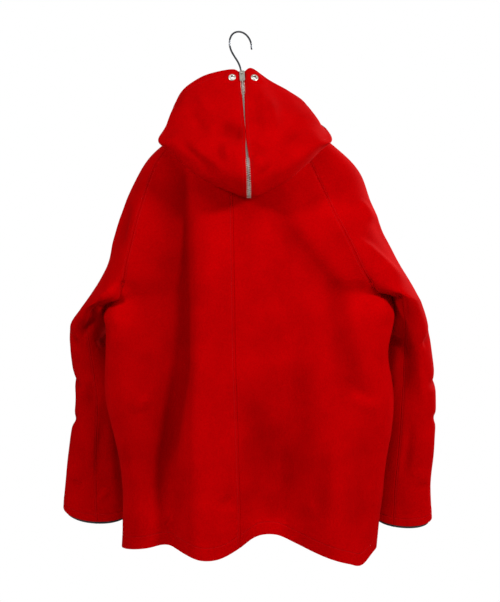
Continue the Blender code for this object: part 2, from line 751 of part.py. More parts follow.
def build_hood(grids):
    hoods = hood_grids(grids)
    normals = hood_normals(hoods)
    for side in ("left", "right"):
        turn = 1 if side == "left" else -1
        inner = hoods[side] - WALL * normals[side]
        outer, inner = drawn_in(hoods[side], inner, {"first": ZIP_SLOT, "last": FRONT_SLIT})
        half = add_part(f"hood_{side}", wall_mesh(f"hood_{side}", outer, inner, turn), "melton")
        place = eyelet_frame(hoods, normals, side)
        cut(half, cylinder(f"eyelet_hole_{side}", EYELET_HOLE, 16.0, place, EYELET_SIDES))
        eyelet = add_part(f"eyelet_{side}", profile_mesh(f"eyelet_{side}", EYELET_PROFILE), "nickel", place)
        turned(eyelet, EYELET_SIDES)

    outer, inner = zip_strip(hoods, normals, TAPE_HALF, TAPE_DEPTH, TAPE_DEPTH + TAPE_THICK)
    add_part("zip_tape", wall_mesh("zip_tape", outer, inner, 1), "tape")
    outer, inner = zip_strip(hoods, normals, CHAIN_HALF, -CHAIN_PROUD, TAPE_DEPTH - CHAIN_GAP)
    add_part("zip_chain", wall_mesh("zip_chain", outer, inner, 1), "nickel")
    return hoods, normals


def eyelet_frame(hoods, normals, side):
    """An eyelet's place on the flat of the hood's facets, its z axis pointing out of the cloth."""
    grid, normal = hoods[side], normals[side]
    row, place_across = EYELET_CELL
    cell = grid[row : row + 2, place_across : place_across + 2]
    point = cell.reshape(-1, 3).mean(axis=0)
    outward = unit(normal[row, place_across] + normal[row + 1, place_across + 1])
    place = Vector((point - HOOK_TOP) * MM)
    return Matrix.Translation(place) @ Vector(outward).to_track_quat("Z", "Y").to_matrix().to_4x4()


def build_cuff_linings(grids, normals):
    """A dark ring inside each cuff, whose edge shows below it."""
    for side in ("left", "right"):
        top, under = grids[f"sleeve_{side}_top"], grids[f"sleeve_{side}_under"]
        top_normal, under_normal = normals[f"sleeve_{side}_top"], normals[f"sleeve_{side}_under"]
        rows = slice(-LINING_ROWS, None)
        ring = np.concatenate([top[rows], under[rows, -2:0:-1]], axis=1)
        ring_normal = np.concatenate([top_normal[rows], under_normal[rows, -2:0:-1]], axis=1)
        hang = ring[-1:] + LINING_SHOWS * unit(ring[-1:] - ring[-2:-1])
        ring = np.concatenate([ring, hang])
        ring_normal = np.concatenate([ring_normal, ring_normal[-1:]])
        outer = ring - (WALL + 0.5) * ring_normal
        inner = ring - (WALL + 0.5 + LINING) * ring_normal
        name = f"cuff_lining_{side}"
        add_part(name, tube_mesh(name, outer, inner, -1 if side == "left" else 1), "lining")


def tube_mesh(name, outer, inner, turn):
    """A closed tube's wall between two rings of columns."""
    rows, columns = outer.shape[:2]
    count = rows * columns
    points = (np.concatenate([outer.reshape(-1, 3), inner.reshape(-1, 3)]) - HOOK_TOP) * MM
    faces = []
    for i in range(rows - 1):
        for j in range(columns):
            a, b = i * columns + j, i * columns + (j + 1) % columns
            quad = (a, a + columns, b + columns, b)
            faces.append(quad)
            faces.append(tuple(count + v for v in reversed(quad)))
    for j in range(columns):
        k = (j + 1) % columns
        faces.append((j, k, count + k, count + j))
        last = (rows - 1) * columns
        faces.append((last + k, last + j, count + last + j, count + last + k))
    if turn < 0:
        faces = [tuple(reversed(face)) for face in faces]
    mesh = bpy.data.meshes.new(name)
    mesh.from_pydata(points.tolist(), [], faces)
    mesh.validate()
    return mesh


def hanger_top(x):
    """Height of the arms' top line, in the frame that tilts with the shoulders."""
    return HANGER_NECK - HANGER_SLOPE * np.abs(x) - HANGER_DROOP * x**2


def build_hanger():
    """Two arms in one loft of oval sections, and the wire hook screwed into their middle."""
    stations = np.array([-1, -0.985, -0.93, -0.8, -0.6, -0.4, -0.2, 0, 0.2, 0.4, 0.6, 0.8, 0.93, 0.985, 1])
    x = stations * HANGER_HALF
    round_end = np.sqrt(np.clip(1 - np.abs(stations) ** 12, 0.0, 1.0)) * 0.85 + 0.15
    turn = np.linspace(0, 2 * math.pi, HANGER_SIDES, endpoint=False)
    middle = hanger_top(x) - HANGER_HEIGHT
    tilt = math.radians(HANGER_TILT)
    rings = []
    for at, height, size in zip(x, middle, round_end):
        y = HANGER_DEPTH * size * np.cos(turn)
        z = height + HANGER_HEIGHT * size * np.sin(turn)
        ring = np.stack([np.full_like(y, at), y, z], -1)
        rings.append(ring)
    grid = np.stack(rings)
    pivot = hanger_top(np.array([0.0]))[0]
    dx, dz = grid[..., 0].copy(), grid[..., 2] - pivot
    grid[..., 0] = dx * math.cos(tilt) + dz * math.sin(tilt)
    grid[..., 2] = pivot - dx * math.sin(tilt) + dz * math.cos(tilt)

    count = len(turn)
    faces = [tuple(range(count)), tuple(range((len(x) - 1) * count, len(x) * count))[::-1]]
    for i in range(len(x) - 1):
        for j in range(count):
            a, b = i * count + j, i * count + (j + 1) % count
            faces.append((b, a, a + count, b + count))
    mesh = bpy.data.meshes.new("hanger_body")
    mesh.from_pydata(((grid.reshape(-1, 3) - HOOK_TOP) * MM).tolist(), [], faces)
    body = add_part("hanger_body", mesh, "hanger")
    recalculate(mesh)
    socket_foot = pivot - HOOK_DEPTH
    place = Matrix.Translation(Vector((np.array([0, 0, socket_foot + 20.0]) - HOOK_TOP) * MM))
    cut(body, cylinder("hook_socket", HOOK_WIRE + 0.3, 40.0, place, 12))

    points = [(0.0, 0.0, socket_foot + 0.3)] + HOOK_LINE
    add_part("hanger_hook", wire_mesh("hanger_hook", points, HOOK_WIRE), "steel")


def wire_mesh(name, points, radius):
    """A round wire through points, as a smooth POLY spline with filled caps."""
    points = np.array(points, float)
    length = np.concatenate([[0.0], np.cumsum(np.linalg.norm(np.diff(points, axis=0), axis=1))])
    fine = through(length, points, np.linspace(0, length[-1], WIRE_POINTS))
    curve = bpy.data.curves.new(name, "CURVE")
    curve.dimensions = "3D"
    curve.bevel_depth = radius * MM
    curve.bevel_resolution = 2
    curve.use_fill_caps = True
    spline = curve.splines.new("POLY")
    spline.points.add(len(fine) - 1)
    for knot, point in zip(spline.points, fine):
        knot.co = (*((point - HOOK_TOP) * MM), 1.0)
    return meshed(name, curve)


def meshed(name, curve):
    """A curve turned into a mesh whose caps are welded on."""
    holder = bpy.data.objects.new(name + "_line", curve)
    bpy.context.scene.collection.objects.link(holder)
    evaluated = holder.evaluated_get(bpy.context.evaluated_depsgraph_get())
    mesh = bpy.data.meshes.new_from_object(evaluated)
    bpy.data.objects.remove(holder)
    mesh.name = name
    recalculate(mesh)
    return mesh


def recalculate(mesh):
    shape = bmesh.new()
    shape.from_mesh(mesh)
    bmesh.ops.remove_doubles(shape, verts=shape.verts, dist=1e-6)
    bmesh.ops.recalc_face_normals(shape, faces=shape.faces)
    shape.to_mesh(mesh)
    shape.free()


def box_mesh(name, centre, size, bevel=0.0):
    """A box in millimetres, its edges rounded by one bevel."""
    shape = bmesh.new()
    bmesh.ops.create_cube(shape, size=1.0)
    bmesh.ops.scale(shape, vec=Vector(size) * MM, verts=shape.verts)
    bmesh.ops.translate(shape, vec=Vector(centre) * MM, verts=shape.verts)
    if bevel:
        bmesh.ops.bevel(
            shape, geom=shape.edges[:], offset=bevel * MM, segments=1, profile=0.5, affect="EDGES"
        )
    mesh = bpy.data.meshes.new(name)
    shape.to_mesh(mesh)
    shape.free()
    return mesh


def turned(part, sides):
    """Turn a part's profile, drawn at +X from its top down, once round z."""
    screw = part.modifiers.new("turned", "SCREW")
    screw.axis = "Z"
    screw.angle = 2 * math.pi
    screw.steps = sides
    screw.render_steps = sides
    screw.use_merge_vertices = True
    screw.merge_threshold = 1e-5
    screw.use_normal_calculate = True
    screw.use_normal_flip = True


def profile_mesh(name, profile):
    """A closed profile of (radius, height) points in millimetres, as edges in the xz plane."""
    mesh = bpy.data.meshes.new(name)
    points = [(radius * MM, 0.0, height * MM) for radius, height in profile]
    edges = [(i, (i + 1) % len(points)) for i in range(len(points))]
    mesh.from_pydata(points, edges, [])
    return mesh


def cylinder(name, radius, length, place, sides):
    """A cutter along the z axis of its place."""
    shape = bmesh.new()
    bmesh.ops.create_cone(
        shape,
        cap_ends=True,
        segments=sides,
        radius1=radius * MM,
        radius2=radius * MM,
        depth=length * MM,
    )
    mesh = bpy.data.meshes.new(name)
    shape.to_mesh(mesh)
    shape.free()
    return add_cutter(name, mesh, place)


def add_cutter(name, mesh, place=None):
    cutter = bpy.data.objects.new(name, mesh)
    bpy.data.collections["cutters"].objects.link(cutter)
    cutter.matrix_world = place or Matrix.Identity(4)
    cutter.display_type = "WIRE"
    cutter.hide_render = True
    return cutter


def cut(part, cutter, operation="DIFFERENCE"):
    modifier = part.modifiers.new(cutter.name, "BOOLEAN")
    modifier.operation = operation
    modifier.object = cutter
    return modifier


def material(name):
    """The finish of a group of parts."""
    if name in bpy.data.materials:
        return bpy.data.materials[name]
    colour, roughness, metallic = FINISHES[name]
    made = bpy.data.materials.new(name)
    made.use_nodes = True
    shader = made.node_tree.nodes["Principled BSDF"]
    shader.inputs["Base Color"].default_value = (*colour, 1.0)
    shader.inputs["Roughness"].default_value = roughness
    shader.inputs["Metallic"].default_value = metallic
    return made


def add_part(name, mesh, finish, place=None, parent=None):
    part = bpy.data.objects.new(name, mesh)
    bpy.data.collections[OBJECT_NAME].objects.link(part)
    mesh.materials.clear()
    mesh.materials.append(material(finish))
    mesh.shade_smooth()
    mesh.set_sharp_from_angle(angle=math.radians(SHARP_ANGLE))
    part.parent = parent
    if place:
        part.matrix_world = place
    return part


def build_slider(hoods, normals):
    """The slider at the chain's top end and the tab that hangs from its bridge."""
    frame = zip_frame(hoods, normals)
    slider = add_part("zip_slider", box_mesh("zip_slider", *SLIDER_PLATE, 0.6), "nickel", frame)
    for i, (centre, size) in enumerate(SLIDER_UNIONS):
        piece = add_cutter(f"slider_piece_{i}", box_mesh(f"slider_piece_{i}", centre, size), frame)
        cut(slider, piece, "UNION")

    pivot = bpy.data.objects.new("pull_pivot", None)
    bpy.data.collections[OBJECT_NAME].objects.link(pivot)
    tilt = Matrix.Rotation(math.radians(-PULL_TILT), 4, "X")
    pivot.matrix_world = frame @ Matrix.Translation(Vector(PULL_PIVOT) * MM) @ tilt
    bpy.context.view_layer.update()
    pull = add_part("zip_pull", box_mesh("zip_pull", *PULL_PLATE, 0.4), "nickel")
    pull.parent = pivot
    for i, (centre, size) in enumerate(PULL_WINDOWS):
        piece = add_cutter(f"pull_window_{i}", box_mesh(f"pull_window_{i}", centre, size))
        piece.matrix_world = pivot.matrix_world
        cut(pull, piece)


def panel_frame(grids, normals, name, x, z):
    """The place of a plate that lies on a front panel at x, z, touching its highest point there:
    x to the wearer's left, y down and z out of the cloth."""
    share = np.linspace(0, 1, PLATE_SAMPLES)
    u, v = share[:, None, None, None, None], share[None, :, None, None, None]
    weights = ((1 - u) * (1 - v), (1 - u) * v, u * (1 - v), u * v)

    def spread(grid):
        corners = (grid[:-1, :-1], grid[:-1, 1:], grid[1:, :-1], grid[1:, 1:])
        return sum(weight * corner for weight, corner in zip(weights, corners)).reshape(-1, 3)

    points, outs = spread(grids[name]), spread(normals[name])
    under = (np.abs(points[:, 0] - x) < PLATE_REACH[0]) & (np.abs(points[:, 2] - z) < PLATE_REACH[1])
    outward = Vector(outs[under].mean(axis=0)).normalized()
    down = outward.cross(Vector((1.0, 0.0, 0.0))).normalized()
    across = down.cross(outward).normalized()
    middle = points[under].mean(axis=0)
    height = ((points[under] - middle) @ np.array(outward)).max()
    origin = middle + height * np.array(outward)
    basis = Matrix([[*across], [*down], [*outward]]).transposed().to_4x4()
    return Matrix.Translation(Vector((origin - HOOK_TOP) * MM)) @ basis


def hook_mesh(name):
    """The clasp's tongue: a strip bent over the ring's bar, drawn from its side."""
    curve = bpy.data.curves.new(name, "CURVE")
    curve.dimensions = "2D"
    curve.fill_mode = "BOTH"
    curve.extrude = HOOK_WIDE / 2 * MM
    spline = curve.splines.new("POLY")
    spline.points.add(len(HOOK_SIDE) - 1)
    for knot, (x, z) in zip(spline.points, HOOK_SIDE):
        knot.co = (x * MM, z * MM, 0.0, 1.0)
    spline.use_cyclic_u = True
    mesh = meshed(name, curve)
    mesh.transform(Matrix.Rotation(math.radians(90), 4, "X"))
    return mesh


def build_clasp(grids, normals, number, height):
    """One clasp of the closing: a hook on the left front, holding a ring on the right front."""
    left = panel_frame(grids, normals, "front_left", CLASP_LEFT, height)
    right = panel_frame(grids, normals, "front_right", CLASP_RIGHT, height)
    hook = add_part(f"clasp_hook_{number}", box_mesh("hook_plate", *HOOK_PLATE, 0.5), "nickel", left)
    cut(hook, add_cutter(f"hook_tongue_{number}", hook_mesh("hook_tongue"), left), "UNION")

    ring = add_part(f"clasp_ring_{number}", box_mesh("ring_plate", *RING_PLATE, 0.5), "nickel", right)
    cut(ring, add_cutter(f"ring_lug_{number}", box_mesh("ring_lug", *RING_LUG), right), "UNION")
    to_left = left.inverted() @ right
    lug_place = to_left @ (Vector(RING_LUG[0]) * MM) / MM
    bar = Vector((HOOK_BAR[0], 0.0, HOOK_BAR[1]))
    curve = bpy.data.curves.new("clasp_ring", "CURVE")
    curve.dimensions = "3D"
    curve.bevel_depth = RING_WIRE * MM
    curve.bevel_resolution = 1
    spline = curve.splines.new("POLY")
    spline.points.add(len(RING_LOOP) - 1)
    for knot, (share, y) in zip(spline.points, RING_LOOP):
        point = bar.lerp(Vector((lug_place.x, 0.0, lug_place.z)), share)
        knot.co = (point.x * MM, (lug_place.y * share + y) * MM, point.z * MM, 1.0)
    spline.use_cyclic_u = True
    cut(ring, add_cutter(f"ring_loop_{number}", meshed("ring_loop", curve), left), "UNION")


def main():
    for thing in list(bpy.data.objects):
        bpy.data.objects.remove(thing)
    for name in (OBJECT_NAME, "cutters"):
        group = bpy.data.collections.new(name)
        bpy.context.scene.collection.children.link(group)
    grids, normals = build_panels()
    hoods, hood_ways = build_hood(grids)
    build_slider(hoods, hood_ways)
    build_cuff_linings(grids, normals)
    build_hanger()
    for number, height in enumerate(CLASP_HEIGHTS, 1):
        build_clasp(grids, normals, number, height)


main()
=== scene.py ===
"""A hooded wool coat with raglan sleeves, hanging by its shoulders on a hanger, seen from the back.

Sizes are in millimetres in the coat's own frame until a mesh is made: +X is the wearer's left,
-Y the front, +Z up, and the hook's stem stands at x = 0, y = 0. Meshes are in metres and shifted
so that the inside of the hook's top is the origin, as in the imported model.

Stations run down the cloth: 0 at the neck, 1 at the underarm, 2 at the hem or the cuff.
"""

import math
from functools import cache, partial

import bmesh
import bpy
import numpy as np
from bpy.props import FloatProperty, FloatVectorProperty, PointerProperty
from bpy.types import Operator, Panel, PropertyGroup
from mathutils import Matrix, Vector


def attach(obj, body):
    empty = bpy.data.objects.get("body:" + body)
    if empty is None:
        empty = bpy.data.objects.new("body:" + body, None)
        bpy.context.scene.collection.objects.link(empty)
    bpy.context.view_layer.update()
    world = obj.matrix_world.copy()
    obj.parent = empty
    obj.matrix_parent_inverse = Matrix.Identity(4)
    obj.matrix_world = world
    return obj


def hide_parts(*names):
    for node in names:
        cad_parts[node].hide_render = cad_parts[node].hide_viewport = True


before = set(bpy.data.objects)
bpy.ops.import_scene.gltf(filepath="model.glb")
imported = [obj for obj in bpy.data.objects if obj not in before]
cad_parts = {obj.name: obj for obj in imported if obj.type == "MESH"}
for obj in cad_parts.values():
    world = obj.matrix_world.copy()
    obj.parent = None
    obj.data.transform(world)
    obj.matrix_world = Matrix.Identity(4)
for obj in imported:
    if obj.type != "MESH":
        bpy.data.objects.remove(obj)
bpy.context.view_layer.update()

bl_info = {
    "name": "Hooded wool coat",
    "version": (1, 0, 0),
    "blender": (4, 5, 0),
    "location": "View3D > Sidebar > Coat",
    "description": "Sews a hooded wool coat panel by panel round its packed model",
    "category": "Add Mesh",
}

MM = 0.001
HOOK_TOP = np.array([6.5, 0.0, 0.0])
SIDES_OF_COAT = {"left": 1, "right": -1}  # with the sign of x there
COAT_BODY, PULL_BODY = "coat", "pull_tab"

# ---------------------------------------------------------------- the cut


def table(text):
    """A table with named columns, one row for each section."""
    names, *rows = (line.split() for line in text.strip().splitlines())
    return dict(zip(names, np.array(rows, float).T))


def pairs(text):
    """Places that are written as pairs of numbers."""
    return np.array([pair.split(",") for pair in text.split()], float)


RAGLAN = {
    "left": table("""
        station back_x back_y back_z outer_x outer_y outer_z front_x front_y front_z
           0  91 30 -181  97  4 -182  84 -28 -194
        0.12 127 43 -214 137  5 -207 115 -40 -224
        0.25 157 50 -250 175  5 -240 142 -48 -256
        0.47 187 67 -336 220  0 -325 174 -72 -338
        0.65 203 72 -406 241 -5 -398 194 -82 -407
        0.74 212 69 -443 253 -6 -437 204 -80 -442
        0.82 219 60 -476 270 -6 -472 215 -70 -474
        0.89 231 44 -497 284 -7 -494 230 -46 -497
           1 255  8 -518 306 -8 -524 255   8 -518
"""),
    "right": table("""
        station back_x back_y back_z outer_x outer_y outer_z front_x front_y front_z
           0  -82 30 -166  -90   4 -164  -78 -28 -180
        0.12 -108 43 -212 -150   0 -196 -104 -42 -220
        0.25 -133 50 -260 -212  -8 -246 -130 -50 -263
        0.47 -172 69 -346 -249 -10 -325 -166 -74 -346
        0.65 -206 76 -414 -272 -10 -391 -198 -84 -412
        0.74 -223 74 -448 -293 -10 -426 -216 -82 -446
        0.82 -241 64 -475 -312 -10 -457 -236 -72 -474
        0.89 -258 44 -490 -327 -10 -482 -256 -46 -490
           1 -286 10 -502 -342 -10 -510 -286  10 -502
"""),
}
SLEEVE = {
    "left": table("""
        station inner_x inner_y inner_z outer_x outer_y outer_z back front drop
           1 255   8 -518 306  -8 -524 58 66  0
        1.08 256 -16 -548 326 -20 -553 52 62  0
         1.2 246 -44 -600 330 -42 -602 46 54  2
         1.4 232 -56 -690 323 -54 -700 40 44  6
         1.6 228 -58 -770 333 -56 -780 37 40 10
         1.8 222 -58 -846 341 -56 -852 34 36 16
           2 214 -56 -916 345 -54 -909 31 33 22
"""),
    "right": table("""
        station inner_x inner_y inner_z outer_x outer_y outer_z back front drop
           1 -286  10 -502 -342 -10 -510 58 66  0
        1.08 -288 -14 -537 -355 -20 -545 52 62  0
         1.2 -278 -42 -595 -367 -40 -601 46 54  2
         1.4 -270 -54 -685 -378 -52 -694 40 44  6
         1.6 -264 -56 -768 -375 -54 -785 37 40 10
         1.8 -256 -56 -846 -368 -54 -864 34 36 14
           2 -250 -54 -920 -370 -52 -929 31 33 18
"""),
}
SIDES = table("""
    station left_x left_y left_z right_x right_y right_z
       1   255  8 -518 -286 10 -502
    1.06 254.5 15 -541 -286 17 -525
    1.12   255 22 -562 -286 24 -548
    1.24   255 27 -612 -276 28 -602
    1.42   254 30 -692 -285 30 -680
     1.6   237 32 -762 -281 32 -757
    1.72   226 31 -815 -273 32 -807
    1.86   221 27 -890 -263 28 -892
       2   224 22 -971 -254 22 -973
""")
MIDDLE = table("""
    station back_x back_y back_z front_x front_y front_z
       0  8  50 -174 2  -72 -240
    0.25 12  70 -246 3  -84 -288
    0.47 14  86 -333 4  -94 -352
    0.65 13  95 -405 4 -100 -412
    0.82 12 100 -470 4 -104 -472
       1 11 103 -514 4 -106 -514
    1.24 10 104 -606 3 -106 -604
    1.42  7 104 -688 3 -106 -686
     1.6  4 104 -758 2 -106 -760
    1.72  2 104 -808 2 -106 -812
    1.86  0 105 -888 1 -105 -890
       2  1 106 -958 0 -104 -966
""")
HOOD = table("""
    around fold_x fold_y fold_z edge_x edge_y edge_z roll belly lift
       -1   -8 -84 -238  -10 -92 -202  4  2  1
    -0.88  -62 -78 -230  -62 -86 -190  6  4  4
    -0.76 -106 -44 -190 -108 -62 -166  8  6 12
    -0.62 -143  14 -183 -132 -26 -156  8  4 21
     -0.5 -159  54 -213 -122   2 -134 12 12 20
    -0.36 -134  86 -246  -88   8 -110 16 22 12
    -0.24  -88 114 -290  -54  12  -92 18 32  6
    -0.12  -46 128 -314  -20  15  -69 19 40  5
        0  -15 134 -325   -2  20  -79 20 42  5
     0.12   16 130 -315   15  15  -71 19 40  5
     0.24   54 120 -298   48  12  -76 18 32  6
     0.36   98  98 -266   82   8  -88 16 22 12
      0.5  140  58 -223  118   2 -118 12 12 20
     0.62  135  14 -203  130 -26 -156  9  4 23
     0.76  108 -44 -205  106 -62 -174  8  6 14
     0.88   64 -78 -230   62 -86 -190  6  4  4
        1    8 -84 -238   10 -92 -202  4  2  1
""")
FOLDS = {
    "back": table("""
        top_x top_z foot_x foot_z out wide
         110 -330  138 -960 -26 34
          90 -420   82 -960  20 42
        -100 -380  -70 -960 -44 58
        -120 -420 -188 -960  16 50
         -20 -560   30 -960  10 40
"""),
    "front": table("""
        top_x top_z foot_x foot_z out wide
         120 -380  140 -960  16 44
          70 -420   80 -960 -18 40
        -110 -380 -128 -960  16 44
         -72 -430  -76 -960 -16 38
"""),
}
# How far across, and how far the back's hem rises there.
BACK_HEM = pairs("""
    -256,-6 -226,-34 -198,-26 -149,-13 -102,3 -62,16 -26,14 2,-3 44,-20 70,-20 104,-9 134,3 172,0
    220,-2
""").T
BACK_HEM_FROM = (1.4, 0.6)  # the station where that rise starts, and how far it eases in

SEAM_TOP = 0.8  # station where a sleeve's two long seams leave the raglan seams
SEAM_SETTLED = 1.15  # station from which the back one keeps its place
SEAM_PLACE = {"left": 0.24, "right": 0.20}  # that place, as a share of the way round
SLEEVE_CLOSES = (0.7, 0.3)  # where a sleeve starts to close into a tube, and over how much
BODY_CLOSES = (0.85, 0.35)
ARCH_SLOPE = 0.2  # how steeply a raglan panel rises from its seams
FULLNESS = {"back": 2.4, "front": 1.6}  # how square the body's cross-section is
FRONT_DROP = -0.4  # how far a cuff's front hangs, by how far its back does
FOLD_TOP = 0.6  # a fold's width at its top, by its width at the hem
CLOSING_LAP = 22.0  # how far each front reaches past the middle
LAP_LIFT = 4.8
LAP_FADES = (CLOSING_LAP + 8.0, 45.0)
HOOD_LIFT = 0.8  # from the neck edge to the hood
HOOD_CONTROLS = np.array([0.0, 0.04, 0.20, 0.33, 0.39, 0.45, 0.70, 1.0])
NECK_CENTRE = np.array([4.0, -5.0, 0.0])
SETTLES_FROM, SETTLES_TO = (0.62, 0.15), (1.25, 0.2)  # the stations where the body is smoothed
SETTLE_ROUNDS = 70
SETTLE_FADE = 60.0  # from the side seam

# ---------------------------------------------------------------- how finely it is sewn

PITCH = 4.2  # spacing of points on plain cloth
NEAR_SEAM = np.array([0.0, 0.8, 1.6, 2.4, 3.0, 3.6, 4.5, 6.0, 9.0])
NEAR_HEM = np.array([0, 1, 2, 3.2, 5, 8, 12, 16, 19, 21, 22.2, 23, 23.6, 24.2, 25, 26.5, 29.5, 33.5])
NEAR_CUFF = np.array([0, 1, 2, 3.2, 5, 8, 11, 13, 14, 14.6, 15.2, 16, 17.5, 20.5, 24.5])
NEAR_FACE = np.array([0, 1, 2, 3.2, 5, 8, 12, 15, 16.4, 17.2, 17.8, 18.4, 19.4, 21.5, 25])
NEAR_NECK, NEAR_MIDDLE = np.array([0.0, 1.0, 3.0]), np.array([0.0, 2.0, 5.0])
HEM_LINE, CUFF_LINE, FACE_LINE = 23.6, 14.6, 17.8
UNDERARM_EDGE = 76.0  # length of the raglan seam that the under sleeve joins
DENSE = 220  # samples of a line that is measured
DENSE_ACROSS = 61  # samples across a panel at which its rows are placed
BLEND_ROWS = 0.15  # the share of a panel's rows over which it leaves the places of its neighbour
OPEN_ROWS = 70  # rows from the neck to the under sleeve
MOST_EDGE = 0.42  # the share of a narrow row that its dense edge may take
LEAST_SINE = 0.45  # of the angle at which a row is taken to meet its edge


def smooth_step(value, start=0.0, width=1.0):
    """0 up to start, 1 from start + width, and smooth between."""
    t = np.clip((value - start) / width, 0.0, 1.0)
    return t * t * (3.0 - 2.0 * t)


def blend(first, second, share):
    return (1 - share) * first + share * second


def bump(distance, height, width):
    """A soft ridge along a line, or a groove where its height is negative."""
    return height * np.exp(-((distance / width) ** 2))


def unit(vectors):
    return vectors / np.maximum(np.linalg.norm(vectors, axis=-1, keepdims=True), 1e-9)


def sampled(at, along, values):
    """A line's points, or other values on it, at places along it."""
    return np.stack([np.interp(at, along, part) for part in values.T], axis=-1)


def located(stations, at):
    """The interval of stations that holds each place, its width and the share of it passed."""
    i = np.clip(np.searchsorted(stations, at, side="right") - 1, 0, len(stations) - 2)
    span = stations[i + 1] - stations[i]
    return i, span, (at - stations[i]) / span


def curved(t, span, low, high, rise, fall):
    """A smooth curve from low to high with their slopes, at share t of the span between them."""
    return (
        (2 * t**3 - 3 * t**2 + 1) * low
        + (t**3 - 2 * t**2 + t) * span * rise
        + (3 * t**2 - 2 * t**3) * high
        + (t**3 - t**2) * span * fall
    )


def through(stations, values, at):
    """A smooth curve through a column's values or through points."""
    slopes = np.gradient(values, stations, axis=0)
    i, span, t = located(stations, at)
    if values.ndim > 1:
        span, t = span[..., None], t[..., None]
    return curved(t, span, values[i], values[i + 1], slopes[i], slopes[i + 1])


def column(rows, name, at):
    """One column of a table, or the point whose columns end in _x, _y and _z."""
    stations = next(iter(rows.values()))
    values = rows[name] if name in rows else np.stack([rows[f"{name}_{axis}"] for axis in "xyz"], -1)
    return through(stations, values, np.asarray(at, float))


def sleeve_surface(side, station, turn):
    """A sleeve's outer surface, from its back or inside seam, turn 0, round to its front, 1."""
    station, turn = np.broadcast_arrays(np.asarray(station, float), np.asarray(turn, float))
    seams, rings = RAGLAN[side], SLEEVE[side]
    above, below = np.minimum(station, 1.0), np.maximum(station, 1.0)
    is_ring, at_back = (station > 1.0)[..., None], turn <= 0.5
    seam = np.where(at_back[..., None], column(seams, "back", above), column(seams, "front", above))
    start = np.where(is_ring, column(rings, "inner", below), seam)
    outer = np.where(is_ring, column(rings, "outer", below), column(seams, "outer", above))
    depth = np.where(at_back, column(rings, "back", below), -column(rings, "front", below))
    drop = column(rings, "drop", below) * np.where(at_back, 1.0, FRONT_DROP)

    angle = math.pi * np.where(at_back, turn, 1.0 - turn)
    closing = smooth_step(station, *SLEEVE_CLOSES)
    ring_share = (1.0 - np.cos(2 * angle)) / 2
    lateral = blend(np.sin(angle), ring_share, closing)
    arch = ARCH_SLOPE * np.sin(angle) + (1 - ARCH_SLOPE) * (1 - np.cos(angle))
    inward = blend(arch, ring_share, closing)
    swell = closing * np.sin(2 * angle)
    points = start + (outer - start) * np.stack([lateral, inward, lateral], -1)
    points[..., 1] += swell * depth
    points[..., 2] -= swell * drop
    return points


def fold_depth(face, x, z):
    """The sum of the back's or the front's large folds at x, z."""
    total = np.zeros_like(x)
    for top_x, top_z, foot_x, foot_z, out, width in zip(*FOLDS[face].values()):
        share = (top_z - z) / (top_z - foot_z)
        middle = top_x + (foot_x - top_x) * share
        wide = width * (FOLD_TOP + (1 - FOLD_TOP) * np.clip(share, 0.0, 1.0))
        total += bump(x - middle, out * smooth_step(share), wide)
    return total


def torso_surface(face, station, across):
    """The body's outer surface, from the right seam, across -1, to the left seam, 1."""
    station, across = np.broadcast_arrays(np.asarray(station, float), np.asarray(across, float))
    above, below = np.minimum(station, 1.0), np.maximum(station, 1.0)
    is_left = (across > 0)[..., None]
    side = np.where(is_left, column(SIDES, "left", below), column(SIDES, "right", below))
    seam = np.where(is_left, column(RAGLAN["left"], face, above), column(RAGLAN["right"], face, above))
    edge = np.where((station > 1.0)[..., None], side, seam)
    middle = column(MIDDLE, face, station)

    closing, full = smooth_step(station, *BODY_CLOSES), FULLNESS[face]
    lateral = blend(np.abs(across), np.sin(np.abs(across) * math.pi / 2), closing)
    rim = 1 - (1 - np.clip(lateral, 0, 1) ** full) ** (1 / full)
    inward = blend(lateral**2, rim, closing)
    level = blend(lateral**2, lateral**3, 1 - smooth_step(station, 0.0, 0.3))
    points = middle + (edge - middle) * np.stack([lateral, inward, level], -1)

    sign = 1.0 if face == "back" else -1.0
    points[..., 1] += sign * fold_depth(face, points[..., 0], points[..., 2]) * (1 - lateral**4)
    if face == "back":
        places, rises = BACK_HEM
        rise = through(places, rises, np.clip(points[..., 0], places[0], places[-1]))
        points[..., 2] += rise * smooth_step(station, *BACK_HEM_FROM) * (1 - lateral**12)
    return points


def back_surface(side, station, half):
    return torso_surface("back", station, SIDES_OF_COAT[side] * half)


def front_surface(side, station, half):
    """A front panel from past the middle to its seams. The left one lies on the right one."""
    wide = np.abs(torso_surface("front", station, 1.0) - torso_surface("front", station, 0.0))[..., 0]
    closing = smooth_step(station, *BODY_CLOSES)
    lap = CLOSING_LAP / wide / (1 - closing + closing * math.pi / 2)
    points = torso_surface("front", station, SIDES_OF_COAT[side] * (half * (1 + lap) - lap))
    if side == "left":
        points[..., 1] -= LAP_LIFT * (1 - smooth_step(points[..., 0], *LAP_FADES))
    return points


def sleeve_seam(side, station):
    """How far round the sleeve its back seam lies."""
    return SEAM_PLACE[side] * smooth_step(np.asarray(station), SEAM_TOP, SEAM_SETTLED - SEAM_TOP)


def sleeve_top(side, station, across):
    start = sleeve_seam(side, station)
    return sleeve_surface(side, station, start + (1 - 2 * start) * across)


def sleeve_under(side, down, across):
    """The under sleeve, whose first row runs down the back raglan seam and up the front one."""
    down, across = np.broadcast_arrays(np.asarray(down, float), np.asarray(across, float))
    half = 1 - np.abs(2 * across - 1)
    top = SEAM_TOP + (1 - SEAM_TOP) * half
    station = top + (2.0 - top) * down
    reach = np.clip((station - SEAM_TOP) / (1 - SEAM_TOP), 1e-6, 1.0)
    turn = sleeve_seam(side, station) * np.clip(1 - half / reach, 0.0, 1.0)
    return sleeve_surface(side, station, np.where(across <= 0.5, turn, 1.0 - turn))


